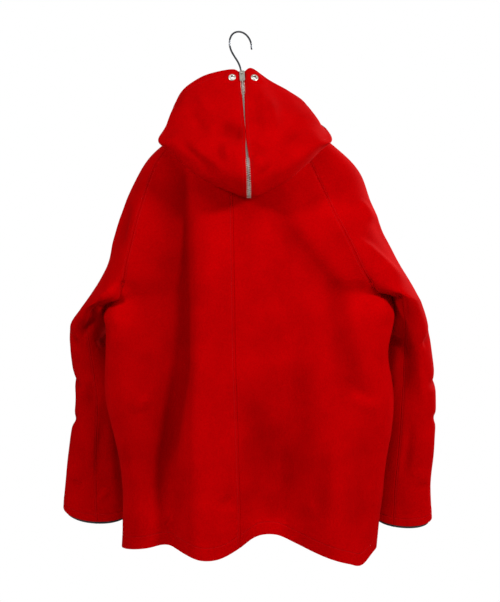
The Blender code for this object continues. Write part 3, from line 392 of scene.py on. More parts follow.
def under_steps():
    """The shares of the raglan seam's last part at which the under sleeve meets the body."""
    rest = np.arange(NEAR_SEAM[-1] + PITCH, UNDERARM_EDGE - 1, PITCH)
    return np.concatenate([NEAR_SEAM, rest, [UNDERARM_EDGE]]) / UNDERARM_EDGE


def lengths(points, axis=0):
    """How far each point lies along its line."""
    steps = np.linalg.norm(np.diff(points, axis=axis), axis=-1)
    first = np.zeros_like(np.take(steps, [0], axis=axis))
    return np.concatenate([first, np.cumsum(steps, axis=axis)], axis=axis)


def spaced(total, head, tail, count):
    """Places along a line: close together at both ends, and evenly between."""
    middle = np.linspace(head[-1], total - tail[-1], count + 2)[1:-1]
    return np.concatenate([head, middle, total - tail[::-1]])


def row_places(surface, start, stop, head, tail):
    """The rows of a panel from start to stop, whose ends keep their real distance from the edges.
    Returns the samples across and the place of each row at each of them."""
    across = np.linspace(0, 1, DENSE_ACROSS)
    fine = np.linspace(start, stop, DENSE)
    far = lengths(surface(fine[:, None], across[None, :]))
    count = int((far[-1].max() - head[-1] - tail[-1]) / PITCH)
    places = [np.interp(spaced(way[-1], head, tail, count), way, fine) for way in far.T]
    return across, np.stack(places, axis=1)


def panel(surface, fixed, start, stop, ends, edges, shared=None, skip=None):
    """A panel's points, with its distances from its first, last and lower edges.
    fixed are the stations that it shares with its neighbours, the rest lie from start to stop.
    edges are the dense distances beside the first and the last column, skip what is left open
    beside the first one, and shared the places across on the first row."""
    across, places = row_places(surface, start, stop, *ends)
    if len(fixed):
        places = np.concatenate([np.repeat(fixed[:, None], len(across), axis=1), places])
    fine = np.linspace(0, 1, DENSE)
    rows = np.stack([np.interp(fine, across, row) for row in places])
    line = surface(rows, fine[None, :])
    far = lengths(line, axis=1)
    sines = []  # of the angle between the rows and each edge
    for at, beside in ((0, 1), (-1, -2)):
        along = unit(np.gradient(line[:, at], axis=0))
        cross = np.cross(unit(line[:, beside] - line[:, at]), along)
        sines.append(np.clip(np.linalg.norm(cross, axis=-1), LEAST_SINE, 1.0))
    skip = np.zeros(len(rows)) if skip is None else skip(rows[:, 0], line[:, 0])
    head, tail = edges
    if shared is None:
        count = int((far[:, -1].max() - head[-1] - tail[-1]) / PITCH)
    else:
        count = len(shared) - len(head) - len(tail)
    spots, from_first, from_last = (np.empty((len(rows), len(head) + len(tail) + count)) for _ in range(3))
    for k, way in enumerate(far):
        total = way[-1] - skip[k]
        fit = min(1.0, MOST_EDGE * total / max(head[-1], tail[-1], 1e-6))
        at = skip[k] + spaced(total, head / sines[0][k] * fit, tail / sines[1][k] * fit, count)
        spots[k] = np.interp(at, way, fine)
        if shared is not None:
            reach = (rows[k, 0] - start) / (stop - start)
            spots[k] = shared + (spots[k] - shared) * smooth_step(reach, 0.0, BLEND_ROWS)
        at = np.interp(spots[k], fine, way)
        from_first[k] = (at - skip[k]) * sines[0][k]
        from_last[k] = (way[-1] - at) * sines[1][k]
    down = np.stack([np.interp(spot, fine, row) for spot, row in zip(spots, rows)])
    points = surface(down, spots)
    from_top = lengths(points)
    return {
        "points": points,
        "first": from_first,
        "last": from_last,
        "top": from_top,
        "foot": from_top[-1] - from_top,
        "place": down,
    }


def body_panels():
    """The eight panels of body and sleeves, before their creases and seams."""
    open_rows = np.linspace(0, SEAM_TOP, OPEN_ROWS + 1)[:-1]
    steps = under_steps()
    fixed = np.concatenate([open_rows, (SEAM_TOP + (1 - SEAM_TOP) * steps)[:-1]])
    shared = np.concatenate([steps / 2, 1 - steps[-2::-1] / 2])
    to_hem, to_cuff, seams = (np.array([0.0]), NEAR_HEM), (NEAR_SEAM, NEAR_CUFF), (NEAR_SEAM, NEAR_SEAM)
    panels = {}
    for side in SIDES_OF_COAT:
        for name, surface, *cut in (
            (f"back_{side}", back_surface, fixed, 1.0, 2.0, to_hem, seams),
            (f"front_{side}", front_surface, fixed, 1.0, 2.0, to_hem, seams),
            (f"sleeve_{side}_top", sleeve_top, open_rows, SEAM_TOP, 2.0, to_cuff, seams),
            (f"sleeve_{side}_under", sleeve_under, [], 0.0, 1.0, to_cuff, seams, shared),
        ):
            panels[name] = panel(partial(surface, side), *cut)
            if not name.startswith("sleeve"):
                settle(panels[name])
    return panels


def settle(cloth):
    """Let the body hang smoothly past the underarm, where its cross-section closes."""
    points, place = cloth["points"], cloth["place"]
    near = smooth_step(place, *SETTLES_FROM) * (1 - smooth_step(place, *SETTLES_TO))
    free = 0.5 * near * smooth_step(cloth["last"], 0.0, SETTLE_FADE)
    for _ in range(SETTLE_ROUNDS):
        pulled = (points[:-2] + points[2:]) / 2 - points[1:-1]
        points[1:-1] += free[1:-1, :, None] * pulled


def neck_line(side):
    """The neck edge from the middle of the back to the front: the share of its length, its points
    and the way up the cloth at each."""
    names = (f"back_{side}", f"sleeve_{side}_top", f"front_{side}")
    back, sleeve, front = (garment()[name]["base"][:2] for name in names)
    line, below = np.concatenate([back, sleeve[:, 1:], front[:, -2::-1]], axis=1)
    way = unit(line - below)
    keep = np.ones(len(line), bool)
    last = slice(1 - front.shape[1], None)
    keep[last] = SIDES_OF_COAT[side] * (line[last, 0] - MIDDLE["front_x"][0]) > -1.0
    line, way = line[keep], way[keep]
    share = lengths(line)
    return share / share[-1], line, way


def hood_surface(neck, side, up, around):
    """The hood's outer face, from its middle seam, around 0, to the front, 1, and from the neck
    seam, up 0, round the fold to the face opening, 1."""
    up, around = np.broadcast_arrays(np.asarray(up, float), np.asarray(around, float))
    shape, up, around = up.shape, up.ravel(), around.ravel()
    share, line, way = neck
    seam = sampled(around, share, line) + HOOD_LIFT * unit(sampled(around, share, way))
    place = SIDES_OF_COAT[side] * around
    fold, edge = (column(HOOD, name, place) for name in ("fold", "edge"))
    roll, belly, lift = (column(HOOD, name, place)[:, None] for name in ("roll", "belly", "lift"))
    rise = smooth_step(roll, 5.0, 8.0)
    out, away = fold - seam, seam - NECK_CENTRE
    out[:, 2] = away[:, 2] = 0.0
    out[:, 0] *= smooth_step(around, 0.0, 0.3)
    out, away, top = unit(out), unit(away), np.array([0.0, 0.0, 1.0])
    controls = np.stack(
        [
            seam,
            seam + 0.6 * roll * away + (2.0 + 0.3 * lift) * top,
            seam + 0.55 * (fold - seam) - 0.4 * roll * rise * out + lift * top,
            fold - roll * out + roll * rise * top,
            fold,
            fold + roll * out + roll * top,
            0.5 * (fold + edge) + belly * out,
            edge,
        ]
    )
    slopes = np.gradient(controls, HOOD_CONTROLS, axis=0)
    i, span, t = located(HOOD_CONTROLS, up)
    low, high = (i, np.arange(len(up))), (i + 1, np.arange(len(up)))
    points = curved(t[:, None], span[:, None], controls[low], controls[high], slopes[low], slopes[high])
    return points.reshape(*shape, 3)


# ---------------------------------------------------------------- creases

PIXEL = 1.9  # millimetres to a pixel of the picture, at the hook
SEEN_AXIS = (241.0, 32.6)  # the pixel of the hook's stem and of its top
EYE = np.array([-17.0, 2400.0, -509.8])
PICTURE_HEIGHT = 602
CREASE_EDGE = 0.12  # how round the edge of a sharp crease is, in its half widths
SLEEVE_SIDE = 200.0  # from here on a side is a sleeve's
# How far a normal points back, to the front or to a side where those creases start, and over how
# much they come to their full depth.
FACES_BACK, FACES_FRONT, FACES_SIDE = (-0.15, 0.5), (0.05, 0.5), (0.35, 0.4)
# The cloth's soft swells: the seed of their draws, their sizes and their depth.
UNEVEN = {"body": (7, (150, 80, 45), 1.5), "hood": (11, (110, 60, 35), 1.0)}
SWELLS = 5  # of each size


def seen(points):
    """Where the camera sees points, in pixels of the picture."""
    scale = EYE[1] / (EYE[1] - points[..., 1])
    x = EYE[0] + (points[..., 0] - EYE[0]) * scale
    z = EYE[2] + (points[..., 2] - EYE[2]) * scale
    return np.stack([SEEN_AXIS[0] - x / PIXEL, SEEN_AXIS[1] - z / PIXEL], -1)


def flat(points, axis):
    """Places along one axis and down, for creases that the camera doesn't see."""
    return np.stack([points[..., axis], -points[..., 2]], -1)


def creases(text):
    """Creases, one on each line: its places, then its depth in millimetres, its half widths on the
    left and the right of someone who walks along it, and the share in which each end fades."""
    rows = (row.split("|") for row in text.strip().splitlines())
    return [(pairs(places), *(float(value) for value in values.split())) for places, values in rows]


# In pixels of the picture.
BACK_CREASES = creases("""
    140,180 130,240 119,300 114,360 114,450 118,540 | 5 26 8 0.2
    122,283 114,303 108,332 | 11 10 8 0.3
    372,278 381,300 388,328 | 9 8 10 0.3
    266,200 286,229 304,251 322,274 337,295 343,322 345,350 352,376 374,408 | -9.5 10 13 0.2
    316,198 344,232 367,262 382,284 | 5 9 9 0.35
    349,391 363,404 380,414 | 5 7 7 0.4
    232,376 254,420 276,462 302,500 | -9.5 22 18 0.35
    236,436 256,480 268,530 | -5 18 24 0.35
    262,392 290,430 314,470 | 3 18 14 0.4
    148,394 140,403 131,413 | 3 5 5 0.4
    154,402 146,411 138,420 | -1.6 5 5 0.4
    234,493 226,501 216,511 | -3 3.5 4.5 0.4
    238,505 232,512 226,522 | 2.6 4 4 0.4
    309,498 311,508 314,520 | 2.4 5 5 0.4
    291,470 280,500 271,530 | -4.5 10 10 0.3
    166,515 171,532 173,550 | -4.8 4 5 0.3
    214,180 208,280 205,380 | 4 16 12 0.3
    330,180 322,206 310,232 | 4 10 12 0.4
    368,424 362,480 358,545 | -6.5 14 12 0.3
    170,140 200,168 226,188 250,196 280,184 316,152 | 8 13 13 0.2
    327,430 322,480 320,530 | -4 10 10 0.3
""")
SHARP_CREASES = creases("""
    185,140 185,250 185,365 177,405 170,450 162,487 160,530 | -9 4.5 34 0.14
    185,130 185,190 185,280 184,370 172,450 162,520 | -7 6 56 0.2
    343,372 358,388 374,402 | -3 3 6 0.35
""")
SLEEVE_CREASES = creases("""
    97,304 93,322 78,341 | -8.4 4 7 0.3
    117,289 106,296 95,301 | 7 4 5 0.35
    128,196 123,225 119,252 | -5.6 4 5 0.35
    92,380 89,395 94,412 | -5.6 7 7 0.4
    66,479 76,483 86,491 | -3.5 2.5 3 0.4
    110,488 104,494 97,501 | 2.8 3 3 0.4
    104,420 99,450 97,480 | -3.5 4 5 0.35
    358,198 366,208 375,224 | 5.6 3 6 0.35
    354,237 370,248 389,265 410,286 | 5.6 3.5 6 0.3
    399,290 401,302 404,318 | -5.6 3 4 0.3
    405,300 399,318 396,338 | 4.2 4 4 0.4
    402,326 405,360 402,404 | -7 8 8 0.35
    426,468 418,474 408,480 | 2.8 3 3 0.4
    432,487 422,485 412,490 | -3.5 3 3 0.4
    412,420 408,450 402,482 | -3.5 5 4 0.35
    424,330 420,370 424,410 | 3.5 5 5 0.35
""")
HOOD_CREASES = creases("""
    212,124 230,131 247,136 | -9.5 7 7 0.35
    218,153 232,151 246,153 | 8 9 9 0.35
    247,141 257,147 270,154 | -5.5 3 5 0.35
    251,155 258,161 267,170 | 7 8 8 0.35
    176,136 197,157 222,179 | -4.5 4.5 5 0.3
    168,142 190,166 215,187 | 3.2 5 5 0.3
    257,86 260,112 263,138 | -3.2 3 3.5 0.35
    270,92 274,115 276,140 | 2.6 5 5 0.35
    300,112 292,132 280,150 | -3.2 5 5 0.35
    196,92 206,108 220,120 | 2.6 5 5 0.35
    188,104 196,120 207,134 | -2.6 5 4 0.35
""")
# In millimetres: the front and the sleeves' fronts by x and down, the sleeves' sides by y and down.
FRONT_CREASES = creases("""
    120,260 96,360 100,480 120,600 | 7 16 22 0.3
    150,330 132,440 148,560 | -7 14 16 0.3
    -96,270 -112,380 -104,500 -126,640 | 7 18 15 0.3
    -140,330 -150,450 -140,570 | -7 14 14 0.3
    226,500 190,560 170,640 | -6.3 10 14 0.35
    -252,490 -214,560 -188,650 | -6.3 14 10 0.35
    60,640 66,780 60,920 | -5.6 18 16 0.3
    176,700 168,820 172,930 | 7 20 16 0.3
    -50,660 -64,800 -60,930 | -6.3 18 18 0.3
    -190,690 -196,810 -186,940 | 7 18 20 0.3
    24,470 40,520 70,560 | -3.5 8 10 0.4
    270,540 300,575 326,600 | -8.4 9 11 0.35
    262,600 286,640 318,660 | 5.6 10 10 0.35
    240,700 270,725 312,735 | -5.6 9 9 0.4
    -300,530 -330,566 -352,592 | -8.4 11 9 0.35
    -290,600 -316,636 -352,656 | 5.6 10 10 0.35
    -276,690 -316,716 -360,720 | -5.6 9 9 0.4
    236,800 270,820 320,818 | 4.2 9 9 0.4
    -268,800 -310,826 -352,820 | 4.2 9 9 0.4
""")
SIDE_CREASES = creases("""
    -30,560 0,590 30,600 | -7 9 10 0.4
    -70,640 -40,668 -10,676 | -5.6 10 9 0.4
    -96,730 -60,740 -24,728 | -4.9 9 9 0.4
    20,300 6,380 -8,450 | 4.2 14 14 0.4
    -60,330 -44,420 -20,500 | -4.9 12 12 0.4
""")


def crease(places, line, depth, left, right, ease, soft):
    """A crease's depth at places. A crease that isn't soft comes to an edge."""
    starts, ways = line[:-1], np.diff(line, axis=0)
    size = np.linalg.norm(ways, axis=1)
    along = np.concatenate([[0.0], np.cumsum(size)])
    reach = 3 * max(left, right)
    near = np.all((places > line.min(axis=0) - reach) & (places < line.max(axis=0) + reach), axis=-1)
    spots = places[near]
    found, aside, part = np.full(len(spots), np.inf), np.zeros(len(spots)), np.zeros(len(spots))
    for start, way, length, before in zip(starts, ways, size, along):
        ahead, away = way / length, spots - start
        t = np.clip(away @ ahead, 0.0, length)
        distance = np.linalg.norm(away - t[:, None] * ahead, axis=-1)
        closer = distance < found
        found = np.where(closer, distance, found)
        aside = np.where(closer, np.sign(away[:, 0] * ahead[1] - away[:, 1] * ahead[0]), aside)
        part = np.where(closer, (before + t) / along[-1], part)
    fade = smooth_step(part / ease) * smooth_step((1 - part) / ease)
    spread = (found / np.where(aside > 0, left, right)) ** 2
    if not soft:
        spread = np.sqrt(spread + CREASE_EDGE**2) - CREASE_EDGE
    total = np.zeros(places.shape[:-1])
    total[near] = depth * fade * np.exp(-spread)
    return total


def crease_depth(kind, points, normals):
    """How far the creases of the hood or the body push the cloth out at points."""
    back = smooth_step(normals[..., 1], *FACES_BACK)
    front = smooth_step(-normals[..., 1], *FACES_FRONT)
    side = smooth_step(np.abs(normals[..., 0]), *FACES_SIDE) * (np.abs(points[..., 0]) > SLEEVE_SIDE)
    if kind == "hood":
        groups = [(HOOD_CREASES, seen(points), back, True)]
    else:
        groups = [
            (BACK_CREASES + SLEEVE_CREASES, seen(points), back, True),
            (SHARP_CREASES, seen(points), back, False),
            (FRONT_CREASES, flat(points, 0), front, True),
            (SIDE_CREASES, flat(points, 1), side, True),
        ]
    total = np.zeros(points.shape[:-1])
    for lines, places, weight, soft in groups:
        for line in lines:
            total += weight * crease(places, *line, soft)
    return total


def unevenness(points, seed, sizes, depth):
    """Soft uneven swells of the given sizes, the same at the same place."""
    random = np.random.default_rng(seed)
    total = np.zeros(points.shape[:-1])
    for size in sizes:
        for _ in range(SWELLS):
            way = unit(random.normal(size=3)) * (2 * math.pi / size) * random.uniform(0.8, 1.25)
            total += np.sin(points @ way + random.uniform(0, 2 * math.pi)) * size / sizes[0]
    return depth * total / (len(sizes) * 2.0)


# ---------------------------------------------------------------- seams

# Depths or heights, and half widths, of what the sewing presses in and pushes up beside it.
SEAM, BESIDE_SEAM = (-0.55, 1.2), (0.35, 0.9)
STITCHED, BESIDE_STITCHES = (-0.4, 0.8), 0.4
HEM_STITCHED, BESIDE_HEM = (-0.4, 0.9), (0.35, 1.6)
BESIDE_SEAM_AT, BESIDE_STITCHES_TO, BESIDE_HEM_AT = 1.9, 5, 2.5  # from the seam or its stitches
SEAM_EASE = 1.2

SEWN = {
    # lines of stitches from the first and the last edge, from the foot, and from the top
    "back_left": ([5.0], [3.0], HEM_LINE, None),
    "back_right": ([], [3.0], HEM_LINE, None),
    "front_left": (["open", 9.0], [3.0], HEM_LINE, None),
    "front_right": (["open", 9.0], [3.0], HEM_LINE, None),
    "sleeve_left_top": ([3.0], [3.0], CUFF_LINE, None),
    "sleeve_right_top": ([3.0], [3.0], CUFF_LINE, None),
    "sleeve_left_under": ([], [], CUFF_LINE, [3.0]),
    "sleeve_right_under": ([], [], CUFF_LINE, [3.0]),
}
HOOD_SEWN = (["open", 5.0], None, FACE_LINE, None)

WALL = 3.0
SEAM_GAP = 0.05  # each panel's distance from the line of its seam
RIM_STEPS = 4
FOLD_SHADE_DEPTH = 18.0  # depth of a fold that gets the darkest painted shade


def seam_relief(cloth, first, last, foot_line, top):
    """How the sewing shapes the cloth. Each edge has the distances of its stitches, with "open"
    where it isn't a seam, or None where nothing is sewn."""
    presses, puffs = [np.zeros_like(cloth["first"])], [np.zeros_like(cloth["first"])]
    for edge, lines in (("first", first), ("last", last), ("top", top)):
        if lines is None:
            continue
        distance = cloth[edge]
        if "open" not in lines:
            presses.append(bump(distance, *SEAM))
            puffs.append(bump(distance - BESIDE_SEAM_AT, *BESIDE_SEAM))
        for line in lines:
            if line != "open":
                presses.append(bump(distance - line, *STITCHED))
                height = BESIDE_STITCHES * smooth_step(distance, line, SEAM_EASE)
                puffs.append(bump(distance, height, line + BESIDE_STITCHES_TO))
    distance = cloth["foot"] - foot_line
    presses.append(bump(distance, *HEM_STITCHED))
    puffs.append(bump(np.abs(distance) - BESIDE_HEM_AT, *BESIDE_HEM))
    border = np.minimum(cloth["first"], cloth["last"])
    if top is not None:
        border = np.minimum(border, cloth["top"])
    return np.min(presses, axis=0) + np.max(puffs, axis=0) * smooth_step(border, 0.0, SEAM_EASE)


def corner_normals(grid, turn):
    """Each point's normal, summed over the quads that meet there and weighted by their areas."""
    faces = -turn * np.cross(grid[1:, 1:] - grid[:-1, :-1], grid[1:, :-1] - grid[:-1, 1:])
    total = np.zeros_like(grid)
    for rows in (slice(None, -1), slice(1, None)):
        for columns in (slice(None, -1), slice(1, None)):
            total[rows, columns] += faces
    return total


def outward_turn(name):
    """1 where rows crossed with columns point out of the cloth, and -1 where they point in."""
    turned = name.startswith(("back", "sleeve")) and not name.endswith("under")
    return (-1 if turned else 1) * (1 if "left" in name else -1)


def shared_normals(grids, keys):
    """Normals that neighbours agree on along their seams, so that their walls meet."""
    parts = [corner_normals(grid, outward_turn(name)).reshape(-1, 3) for name, grid in grids.items()]
    sums = np.zeros((keys.max() + 1, 3))
    np.add.at(sums, keys, np.concatenate(parts))
    ends = np.cumsum([len(part) for part in parts])[:-1]
    split = np.split(unit(sums[keys]), ends)
    return {name: part.reshape(grid.shape) for (name, grid), part in zip(grids.items(), split)}


def pushed_out(cloth, push, normals):
    """Give a cloth its creases and seams, and note how much shade to paint into its folds."""
    cloth["base"] = cloth["points"]
    cloth["points"] = cloth["base"] + (push + cloth["pressed"])[..., None] * normals
    # painted shade for the folds, darker the deeper they are
    cloth["hollow"] = np.clip(-push / FOLD_SHADE_DEPTH, 0.0, 1.0)


@cache
def garment():
    """The body's and the sleeves' panels with creases and seams, made once."""
    panels = body_panels()
    grids = {name: cloth["points"] for name, cloth in panels.items()}
    every = np.round(np.concatenate([grid.reshape(-1, 3) for grid in grids.values()]), 1)
    _, keys = np.unique(every, axis=0, return_inverse=True)
    normals = shared_normals(grids, keys.ravel())
    for name, cloth in panels.items():
        cloth["pressed"] = seam_relief(cloth, *SEWN[name])
        push = crease_depth("body", grids[name], normals[name])
        push += unevenness(grids[name], *UNEVEN["body"])
        pushed_out(cloth, push, normals[name])
    normals = shared_normals({name: cloth["points"] for name, cloth in panels.items()}, keys.ravel())
    for name, cloth in panels.items():
        cloth["normals"] = normals[name]
    return panels


EDGES = {
    # rows and columns of an edge, the places of its line and of one beside it, and their axis
    "top": (np.s_[:1], 0, 1, 0),
    "foot": (np.s_[-1:], -1, -3, 0),
    "first": (np.s_[:, :1], 0, 1, 1),
    "last": (np.s_[:, -1:], -1, -2, 1),
}


def sewn_mesh(node, cloth, thick, draws, rims):
    """A cloth's wall, thick inside its outer face. draws is how far each edge is drawn in, square
    to itself, and rims names the edges that are rounded."""
    points = cloth["points"]
    outer, inner = points.copy(), points - thick[..., None] * cloth["normals"]
    for edge, distance in draws.items():
        place, at, beside, axis = EDGES[edge]
        line = np.take(points, at, axis)
        along = unit(np.gradient(line, axis=0))
        inwards = np.take(points, beside, axis) - line
        square = unit(inwards - np.sum(inwards * along, axis=-1, keepdims=True) * along)
        way = np.expand_dims(square * distance, axis)
        outer[place] += way
        inner[place] += way
    return shell_mesh(f"cloth_{node}", outer, inner, outward_turn(node), rims, "melton", cloth)


def shell_mesh(name, outer, inner, turn, rims, kind, cloth=None):
    """A closed wall between two grids of points. rims names its edges that are rounded."""
    rows, columns = outer.shape[:2]
    count = rows * columns
    index = np.arange(count).reshape(rows, columns)
    a, b = index[:-1, :-1].ravel(), index[1:, :-1].ravel()
    c, d = index[1:, 1:].ravel(), index[:-1, 1:].ravel()
    quads = [np.stack([a, b, c, d], -1), np.stack([a, d, c, b], -1) + count]
    high, low = outer.reshape(-1, 3), inner.reshape(-1, 3)
    points, used, ends = [high, low], 2 * count, []
    # Each edge and the line beside it, in the order in which the outer face runs round it.
    borders = {
        "first": (index[:, 0], index[:, 1]),
        "foot": (index[-1], index[-2]),
        "last": (index[::-1, -1], index[::-1, -2]),
        "top": (index[0, ::-1], index[1, ::-1]),
    }
    for edge, (line, beside) in borders.items():
        strips = [line]
        if edge in rims:
            centre, up = (high[line] + low[line]) / 2, (high[line] - low[line]) / 2
            along, away = unit(np.gradient(high[line], axis=0)), high[line] - high[beside]
            away = away - np.sum(away * unit(up), axis=-1, keepdims=True) * unit(up)
            away = unit(away - np.sum(away * along, axis=-1, keepdims=True) * along)
            away = away * np.linalg.norm(up, axis=-1, keepdims=True)
            for k in range(1, RIM_STEPS):
                angle = math.pi * k / RIM_STEPS
                points.append(centre + math.cos(angle) * up + math.sin(angle) * away)
                strips.append(used + np.arange(len(line)))
                used += len(line)
        strips.append(line + count)
        for first, second in zip(strips, strips[1:]):
            quads.append(np.stack([first[:-1], second[:-1], second[1:], first[1:]], -1))
        if edge in rims:
            ends.append([int(strip[0]) for strip in strips][::-1])
            ends.append([int(strip[-1]) for strip in strips])
    faces = np.concatenate(quads).tolist() + ends
    if turn < 0:
        faces = [face[::-1] for face in faces]
    places = (np.concatenate(points) - HOOK_TOP) * MM
    mesh = bpy.data.meshes.new(name)
    mesh.from_pydata(places.tolist(), [], faces)
    # the seam relief and the fold shade go with the mesh, for the shade that the wool paints into its
    # colour
    for key in ("pressed", "hollow") if cloth else ():
        values = np.zeros(len(places), np.float32)
        values[:count] = cloth[key].ravel()
        mesh.attributes.new(key, "FLOAT", "POINT").data.foreach_set("value", values)
    mesh.materials.append(finish(kind))
    finish_mesh(mesh, 60.0)
    return mesh


def finish_mesh(mesh, sharp):
    """Check a mesh and shade it smooth up to a sharp angle."""
    mesh.validate()
    mesh.shade_smooth()
    mesh.set_sharp_from_angle(angle=math.radians(sharp))
    mesh.update()


def new_object(name, data):
    """An object in the scene for a mesh, lamp or camera."""
    made = bpy.data.objects.new(name, data)
    bpy.context.scene.collection.objects.link(made)
    return made


def add_piece(name, mesh, body=COAT_BODY, slot=None, stands_for=()):
    """Put a finished piece into the scene."""
    piece = new_object(name, mesh)
    claim(piece, body, slot, stands_for)
    return piece


def claim(piece, body, slot, stands_for):
    """Let a piece ride on its body in place of its solids."""
    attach(piece, body)
    if stands_for:
        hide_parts(*stands_for)


# ---------------------------------------------------------------- the hood

ZIP_SLOT = 4.0  # from the middle to each hood edge
LIP_SLOT = 1.25  # the same where the cloth's lips cover the chain
LIP_LIFT = 2.1
LIP_REACH = 7.0  # how far from its edge a lip starts to lift
# The picture's rows, and how far the lips cover the chain there.
LIP_SHARES = pairs("91,0 101,0.38 112,0.62 121,0.8 127,1 138,1 148,0.5 158,0.1 165,0").T
LIP_WALL = 2.0
HOOD_SHOWS = (0.34, 0.42)  # share of the hood's height from which its outer layer starts
# The hood's outermost places, and how far across and down each hangs lower than its table, in pixels.
HOOD_CORNERS = {"left": ((160.0, 131.0), (-1.5, 7.5)), "right": ((331.0, 129.0), (-0.5, 8.5))}
CORNER_REACH = 13.0
NECK_DRAW = 4.0  # how far the hood's front end is drawn in
EYELET_HOLE = 4.35
EYELET_FLAT = (9.0, 20.0)  # radius of the flat cloth round an eyelet, and where it ends
EYELET_TILT = math.radians(18)  # how much more upright than in the solids that cloth stands
CALM_FADE = 10.0  # how far beyond the flat cloth the creases return


def placed(numbers):
    """A fitting's place: a row each for x, y and z, with the ways across, down or up and out of
    the cloth, and the origin in metres."""
    return Matrix((*np.array(numbers.split(), float).reshape(3, 4).tolist(), (0, 0, 0, 1)))


SLIDER_PLACE = placed("""
    0.996447 -0.043205 0.072292 -0.008823
    -0.027557 0.643873 0.764636 0.025024
    -0.079583 -0.763912 0.640395 -0.085149
""")
PACKED_EYELETS = {
    "left": placed("""
        -0.994566 -0.066887 0.079784 0.010036
        0.104112 -0.63896 0.762162 0.030443
        0 0.766327 0.642451 -0.090537
    """),
    "right": placed("""
        -0.947876 0.210063 -0.239592 -0.032083
        -0.318639 -0.624888 0.71273 0.030118
        0 0.751923 0.659251 -0.091058
    """),
}
EYELET_PLACES = {
    side: place @ Matrix.Rotation(EYELET_TILT, 4, "X") for side, place in PACKED_EYELETS.items()
}


def origin_of(place):
    return np.array(place.translation) / MM + HOOK_TOP


def lip_share(points, up):
    """1 where the hood's edges nearly cover the zip, and 0 where the chain lies open."""
    row = seen(points)[..., 1]
    return np.interp(row, *LIP_SHARES) * smooth_step(up, HOOD_SHOWS[0], 0.05)


def flattened(points, place, inner, outer):
    """Points with those near a fitting's place brought onto its plane."""
    out = np.array(place.to_3x3().col[2])
    away = points - origin_of(place)
    height = away @ out
    around = np.linalg.norm(away - height[..., None] * out, axis=-1)
    share = (1 - smooth_step(around, inner, outer - inner)) * (np.abs(height) < outer)
    return points - (share * height)[..., None] * out


def hood_half(side):
    """One half of the hood with its creases, its zip edge and its stitched face edge."""
    neck, eyelet = neck_line(side), EYELET_PLACES[side]

    def surface(up, around):
        points = hood_surface(neck, side, up, around)
        corner, (across, down) = HOOD_CORNERS[side]
        share = bump(np.linalg.norm(seen(points) - corner, axis=-1), 1.0, CORNER_REACH)
        points = points - share[..., None] * np.array([across, 0.0, down]) * PIXEL
        return flattened(points, eyelet, *EYELET_FLAT)

    def slot(up, edge):
        return ZIP_SLOT + (LIP_SLOT - ZIP_SLOT) * lip_share(edge, up)

    cloth = panel(
        surface, [], 0.0, 1.0, (NEAR_NECK, NEAR_FACE), (NEAR_SEAM, NEAR_MIDDLE), skip=slot
    )
    points, up, turn = cloth["points"], cloth["place"], SIDES_OF_COAT[side]
    normals = unit(corner_normals(points, turn))
    shows = smooth_step(up, HOOD_SHOWS[0], HOOD_SHOWS[1] - HOOD_SHOWS[0])
    cloth["pressed"] = seam_relief(cloth, *HOOD_SEWN) * shows
    push = shows * crease_depth("hood", points, normals)
    push += unevenness(points, *UNEVEN["hood"])
    calm = np.ones_like(push)
    for place in (SLIDER_PLACE, eyelet):
        away = np.linalg.norm(points - origin_of(place), axis=-1)
        calm *= smooth_step(away, EYELET_FLAT[0], CALM_FADE)
    push *= calm
    covers = smooth_step(lip_share(points[:, :1], up[:, :1]), 0.0, 0.3)
    cloth["lip"] = bump(cloth["first"], covers, LIP_REACH)
    push += LIP_LIFT * cloth["lip"]
    pushed_out(cloth, push, normals)
    cloth["normals"] = unit(corner_normals(cloth["points"], turn))
    return cloth


@cache
def hoods():
    """Both halves of the hood, made once."""
    return {side: hood_half(side) for side in SIDES_OF_COAT}


ZIP_REACH = (0.05, 0.985)  # shares of the hood's height where the zip ends, below and at its slider
ZIP_ROWS = 220


def zip_line():
    """The zip's middle line from its lower end to its slider, the ways along it, across and out,
    and how far the lips cover it."""
    rows = np.linspace(*ZIP_REACH, ZIP_ROWS)
    edges = {}
    for side, cloth in hoods().items():
        up, lip = cloth["place"][:, 0], cloth["lip"][:, 0]
        line = cloth["points"][:, 0] - LIP_LIFT * lip[:, None] * cloth["normals"][:, 0]
        edges[side] = sampled(rows, up, line)
        lips = np.interp(rows, up, lip)
    middle = (edges["left"] + edges["right"]) / 2
    along = unit(np.gradient(middle, axis=0))
    out = unit(np.cross(along, unit(edges["left"] - edges["right"])))
    return middle, along, unit(np.cross(out, along)), out, lips


# ---------------------------------------------------------------- finishes


def linear(colour):
    """An sRGB hex colour as the linear values that a shader takes. Linear values stay."""
    if not isinstance(colour, str):
        return (*colour[:3], 1.0)
    values = [int(colour[i : i + 2], 16) / 255 for i in (1, 3, 5)]
    return tuple(v / 12.92 if v <= 0.04045 else ((v + 0.055) / 1.055) ** 2.4 for v in values) + (1.0,)


def toned(colour, share):
    """A linear colour, darker or lighter."""
    return (*(min(1.0, value * share) for value in colour[:3]), 1.0)


def add_node(tree, kind, settings, output=0):
    """Add a node and return one of its outputs. Each setting is the node's own, a ramp's stops, or
    an input's plain value or link, by its name or number."""
    node = tree.nodes.new(f"ShaderNode{kind}")
    for key, value in settings.items():
        if key == "stops":
            points = node.color_ramp.elements
            while len(points) < len(value):
                points.new(0.5)
            for point, (place, colour) in zip(points, value):
                point.position, point.color = place, linear(colour)
        elif isinstance(value, bpy.types.NodeSocket):
            tree.links.new(value, node.inputs[key])
        elif isinstance(key, str) and hasattr(node, key):
            setattr(node, key, value)
        else:
            node.inputs[key].default_value = value
    return node.outputs[output] if node.outputs else node


def begin_finish(name):
    """A new material, its empty tree, and the places that its patterns read."""
    made = bpy.data.materials.new(name)
    made.use_nodes = True
    made.node_tree.nodes.clear()
    return made, made.node_tree, add_node(made.node_tree, "TexCoord", {}, "Object")


